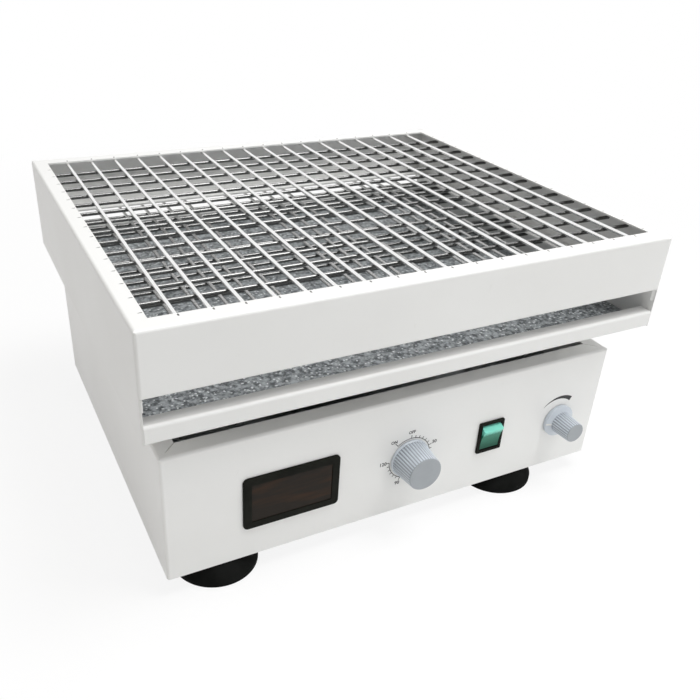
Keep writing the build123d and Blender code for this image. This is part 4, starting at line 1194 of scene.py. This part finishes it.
@dataclass
class Studio:
    """White studio, soft lights and the camera."""

    camera_place: Triple = (-0.31207, -0.58856, 0.45386)
    camera_turn: Triple = (60.163, -2.491, -26.696)
    lens: float = 39.69
    sensor: float = 36.0
    shift_x: float = 0.0351
    shift_y: float = 0.0105
    clip_start: float = 0.01
    floor_size: float = 12.0
    shadow_band: Span = (0.45, 1.1)
    shadow_share: float = 0.14
    fill: float = 0.42
    card_size: float = 6.0
    card_place: Triple = (1.0, -2.6, 1.2)
    aim: Triple = (0.0, 0.0, 0.14)
    lamps: tuple[Lamp, ...] = (
        Lamp("key", (0.5, -0.35, 1.8), 0.9, 28.0, (1.0, 1.0, 0.995)),
        Lamp("front", (0.6, -1.9, 0.6), 1.0, 5.5, (0.98, 0.99, 1.0)),
        Lamp("left", (-1.7, 0.0, 0.5), 0.9, 0.9, (1.0, 0.82, 0.6)),
    )

    def camera(self) -> None:
        """Set the camera at the photograph's viewpoint."""
        data = bpy.data.cameras.new("camera")
        data.sensor_width = self.sensor
        data.lens = self.lens
        data.shift_x = self.shift_x
        data.shift_y = self.shift_y
        data.clip_start = self.clip_start
        item = placed("camera", data)
        item.location = self.camera_place
        item.rotation_euler = Euler([math.radians(angle) for angle in self.camera_turn])
        bpy.context.scene.camera = item

    @staticmethod
    def _square(name: str, size: float, stand: Matrix) -> tuple[bpy.types.Object, Graph]:
        """Make a flat square with an empty material of its own.

        Args:
            name: name of the object and its material.
            size: edge length in metres.
            stand: where it goes and how it is turned.

        Returns:
            The object and its material's graph.
        """
        mesh = bmesh.new()
        bmesh.ops.create_grid(mesh, x_segments=1, y_segments=1, size=size / 2, matrix=stand)
        data = bpy.data.meshes.new(name)
        mesh.to_mesh(data)
        mesh.free()
        paint = bpy.data.materials.new(name)
        data.materials.append(paint)
        return placed(name, data), Graph.fresh(paint)

    @staticmethod
    def _seen(graph: Graph) -> Socket:
        """Mask that is 1 for rays that look at the backdrop.

        Args:
            graph: tree of the floor or the world.

        Returns:
            The mask's socket.
        """
        rays = graph.add("LightPath").outputs
        direct = graph.math("MAXIMUM", rays["Is Camera Ray"], rays["Is Glossy Ray"])
        return graph.math("MAXIMUM", direct, rays["Is Transmission Ray"])

    def floor(self) -> None:
        """Lay a pale floor that reads as white, with a faint shadow that fades with distance."""
        item, graph = self._square("studio_floor", self.floor_size, Matrix.Identity(4))
        white = graph.add("Emission", Color=(1.0, 1.0, 1.0), Strength=1.0)
        matt = graph.add("BsdfDiffuse", Color=(0.8, 0.8, 0.79))
        shadowed = graph.add("BsdfDiffuse", Color=(0.95, 0.95, 0.95))
        reach = graph.add("VectorMath", {"operation": "LENGTH"}, i0=graph.place()).outputs["Value"]
        share = graph.spread(graph.mask(reach, self.shadow_band), (self.shadow_share, 0.0))
        shown = graph.blend(share, white, shadowed)
        mixed = graph.blend(self._seen(graph), matt, shown)
        graph.add("OutputMaterial", Surface=mixed.outputs[0])

    def world(self) -> None:
        """Set a white surround, dimmer for the light it sheds."""
        world = bpy.data.worlds.new("studio")
        graph = Graph.fresh(world)
        white = graph.add("Background", Color=(1.0, 1.0, 1.0), Strength=1.0)
        fill = graph.add("Background", Color=(1.0, 0.997, 0.99), Strength=self.fill)
        mixed = graph.blend(self._seen(graph), fill, white)
        graph.add("OutputWorld", Surface=mixed.outputs[0])
        bpy.context.scene.world = world

    def dark_card(self) -> None:
        """Stand a dark card in front that only reflections see, so that metal has contrast."""
        stand = Matrix.Translation(self.card_place) @ Matrix.Rotation(math.radians(90), 4, "X")
        item, graph = self._square("dark_card", self.card_size, stand)
        grey = graph.add("Emission", Color=(0.1, 0.1, 0.1), Strength=1.0)
        graph.add("OutputMaterial", Surface=grey.outputs[0])
        item.visible_camera = False
        item.visible_diffuse = False
        item.visible_shadow = False
        item.visible_transmission = False

    def build(self) -> None:
        """Set up the whole studio."""
        self.camera()
        self.floor()
        self.world()
        self.dark_card()
        for lamp in self.lamps:
            lamp.hang(Vector(self.aim))
        bpy.context.scene.view_settings.view_transform = "Standard"


def main() -> None:
    """Load the frame, dress and build each sub-assembly in order, and set up the studio."""
    logging.basicConfig(level=logging.INFO, format="%(name)s: %(message)s")
    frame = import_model()
    dressed = 0
    for assembly in (Case(), Drive(), Timer(), SpeedControl(), PowerSwitch(), Tray(), Display()):
        dressed += assembly.dress(frame["nodes"])
        assembly.build()
        LOG.info("%s done", type(assembly).__name__)
    if dressed != len(frame["nodes"]):
        raise RuntimeError(f"{dressed} nodes were dressed, but the frame has {len(frame['nodes'])}")
    Studio().build()
    LOG.info("Studio done")
    bpy.context.view_layer.update()


if __name__ == "__main__":
    main()
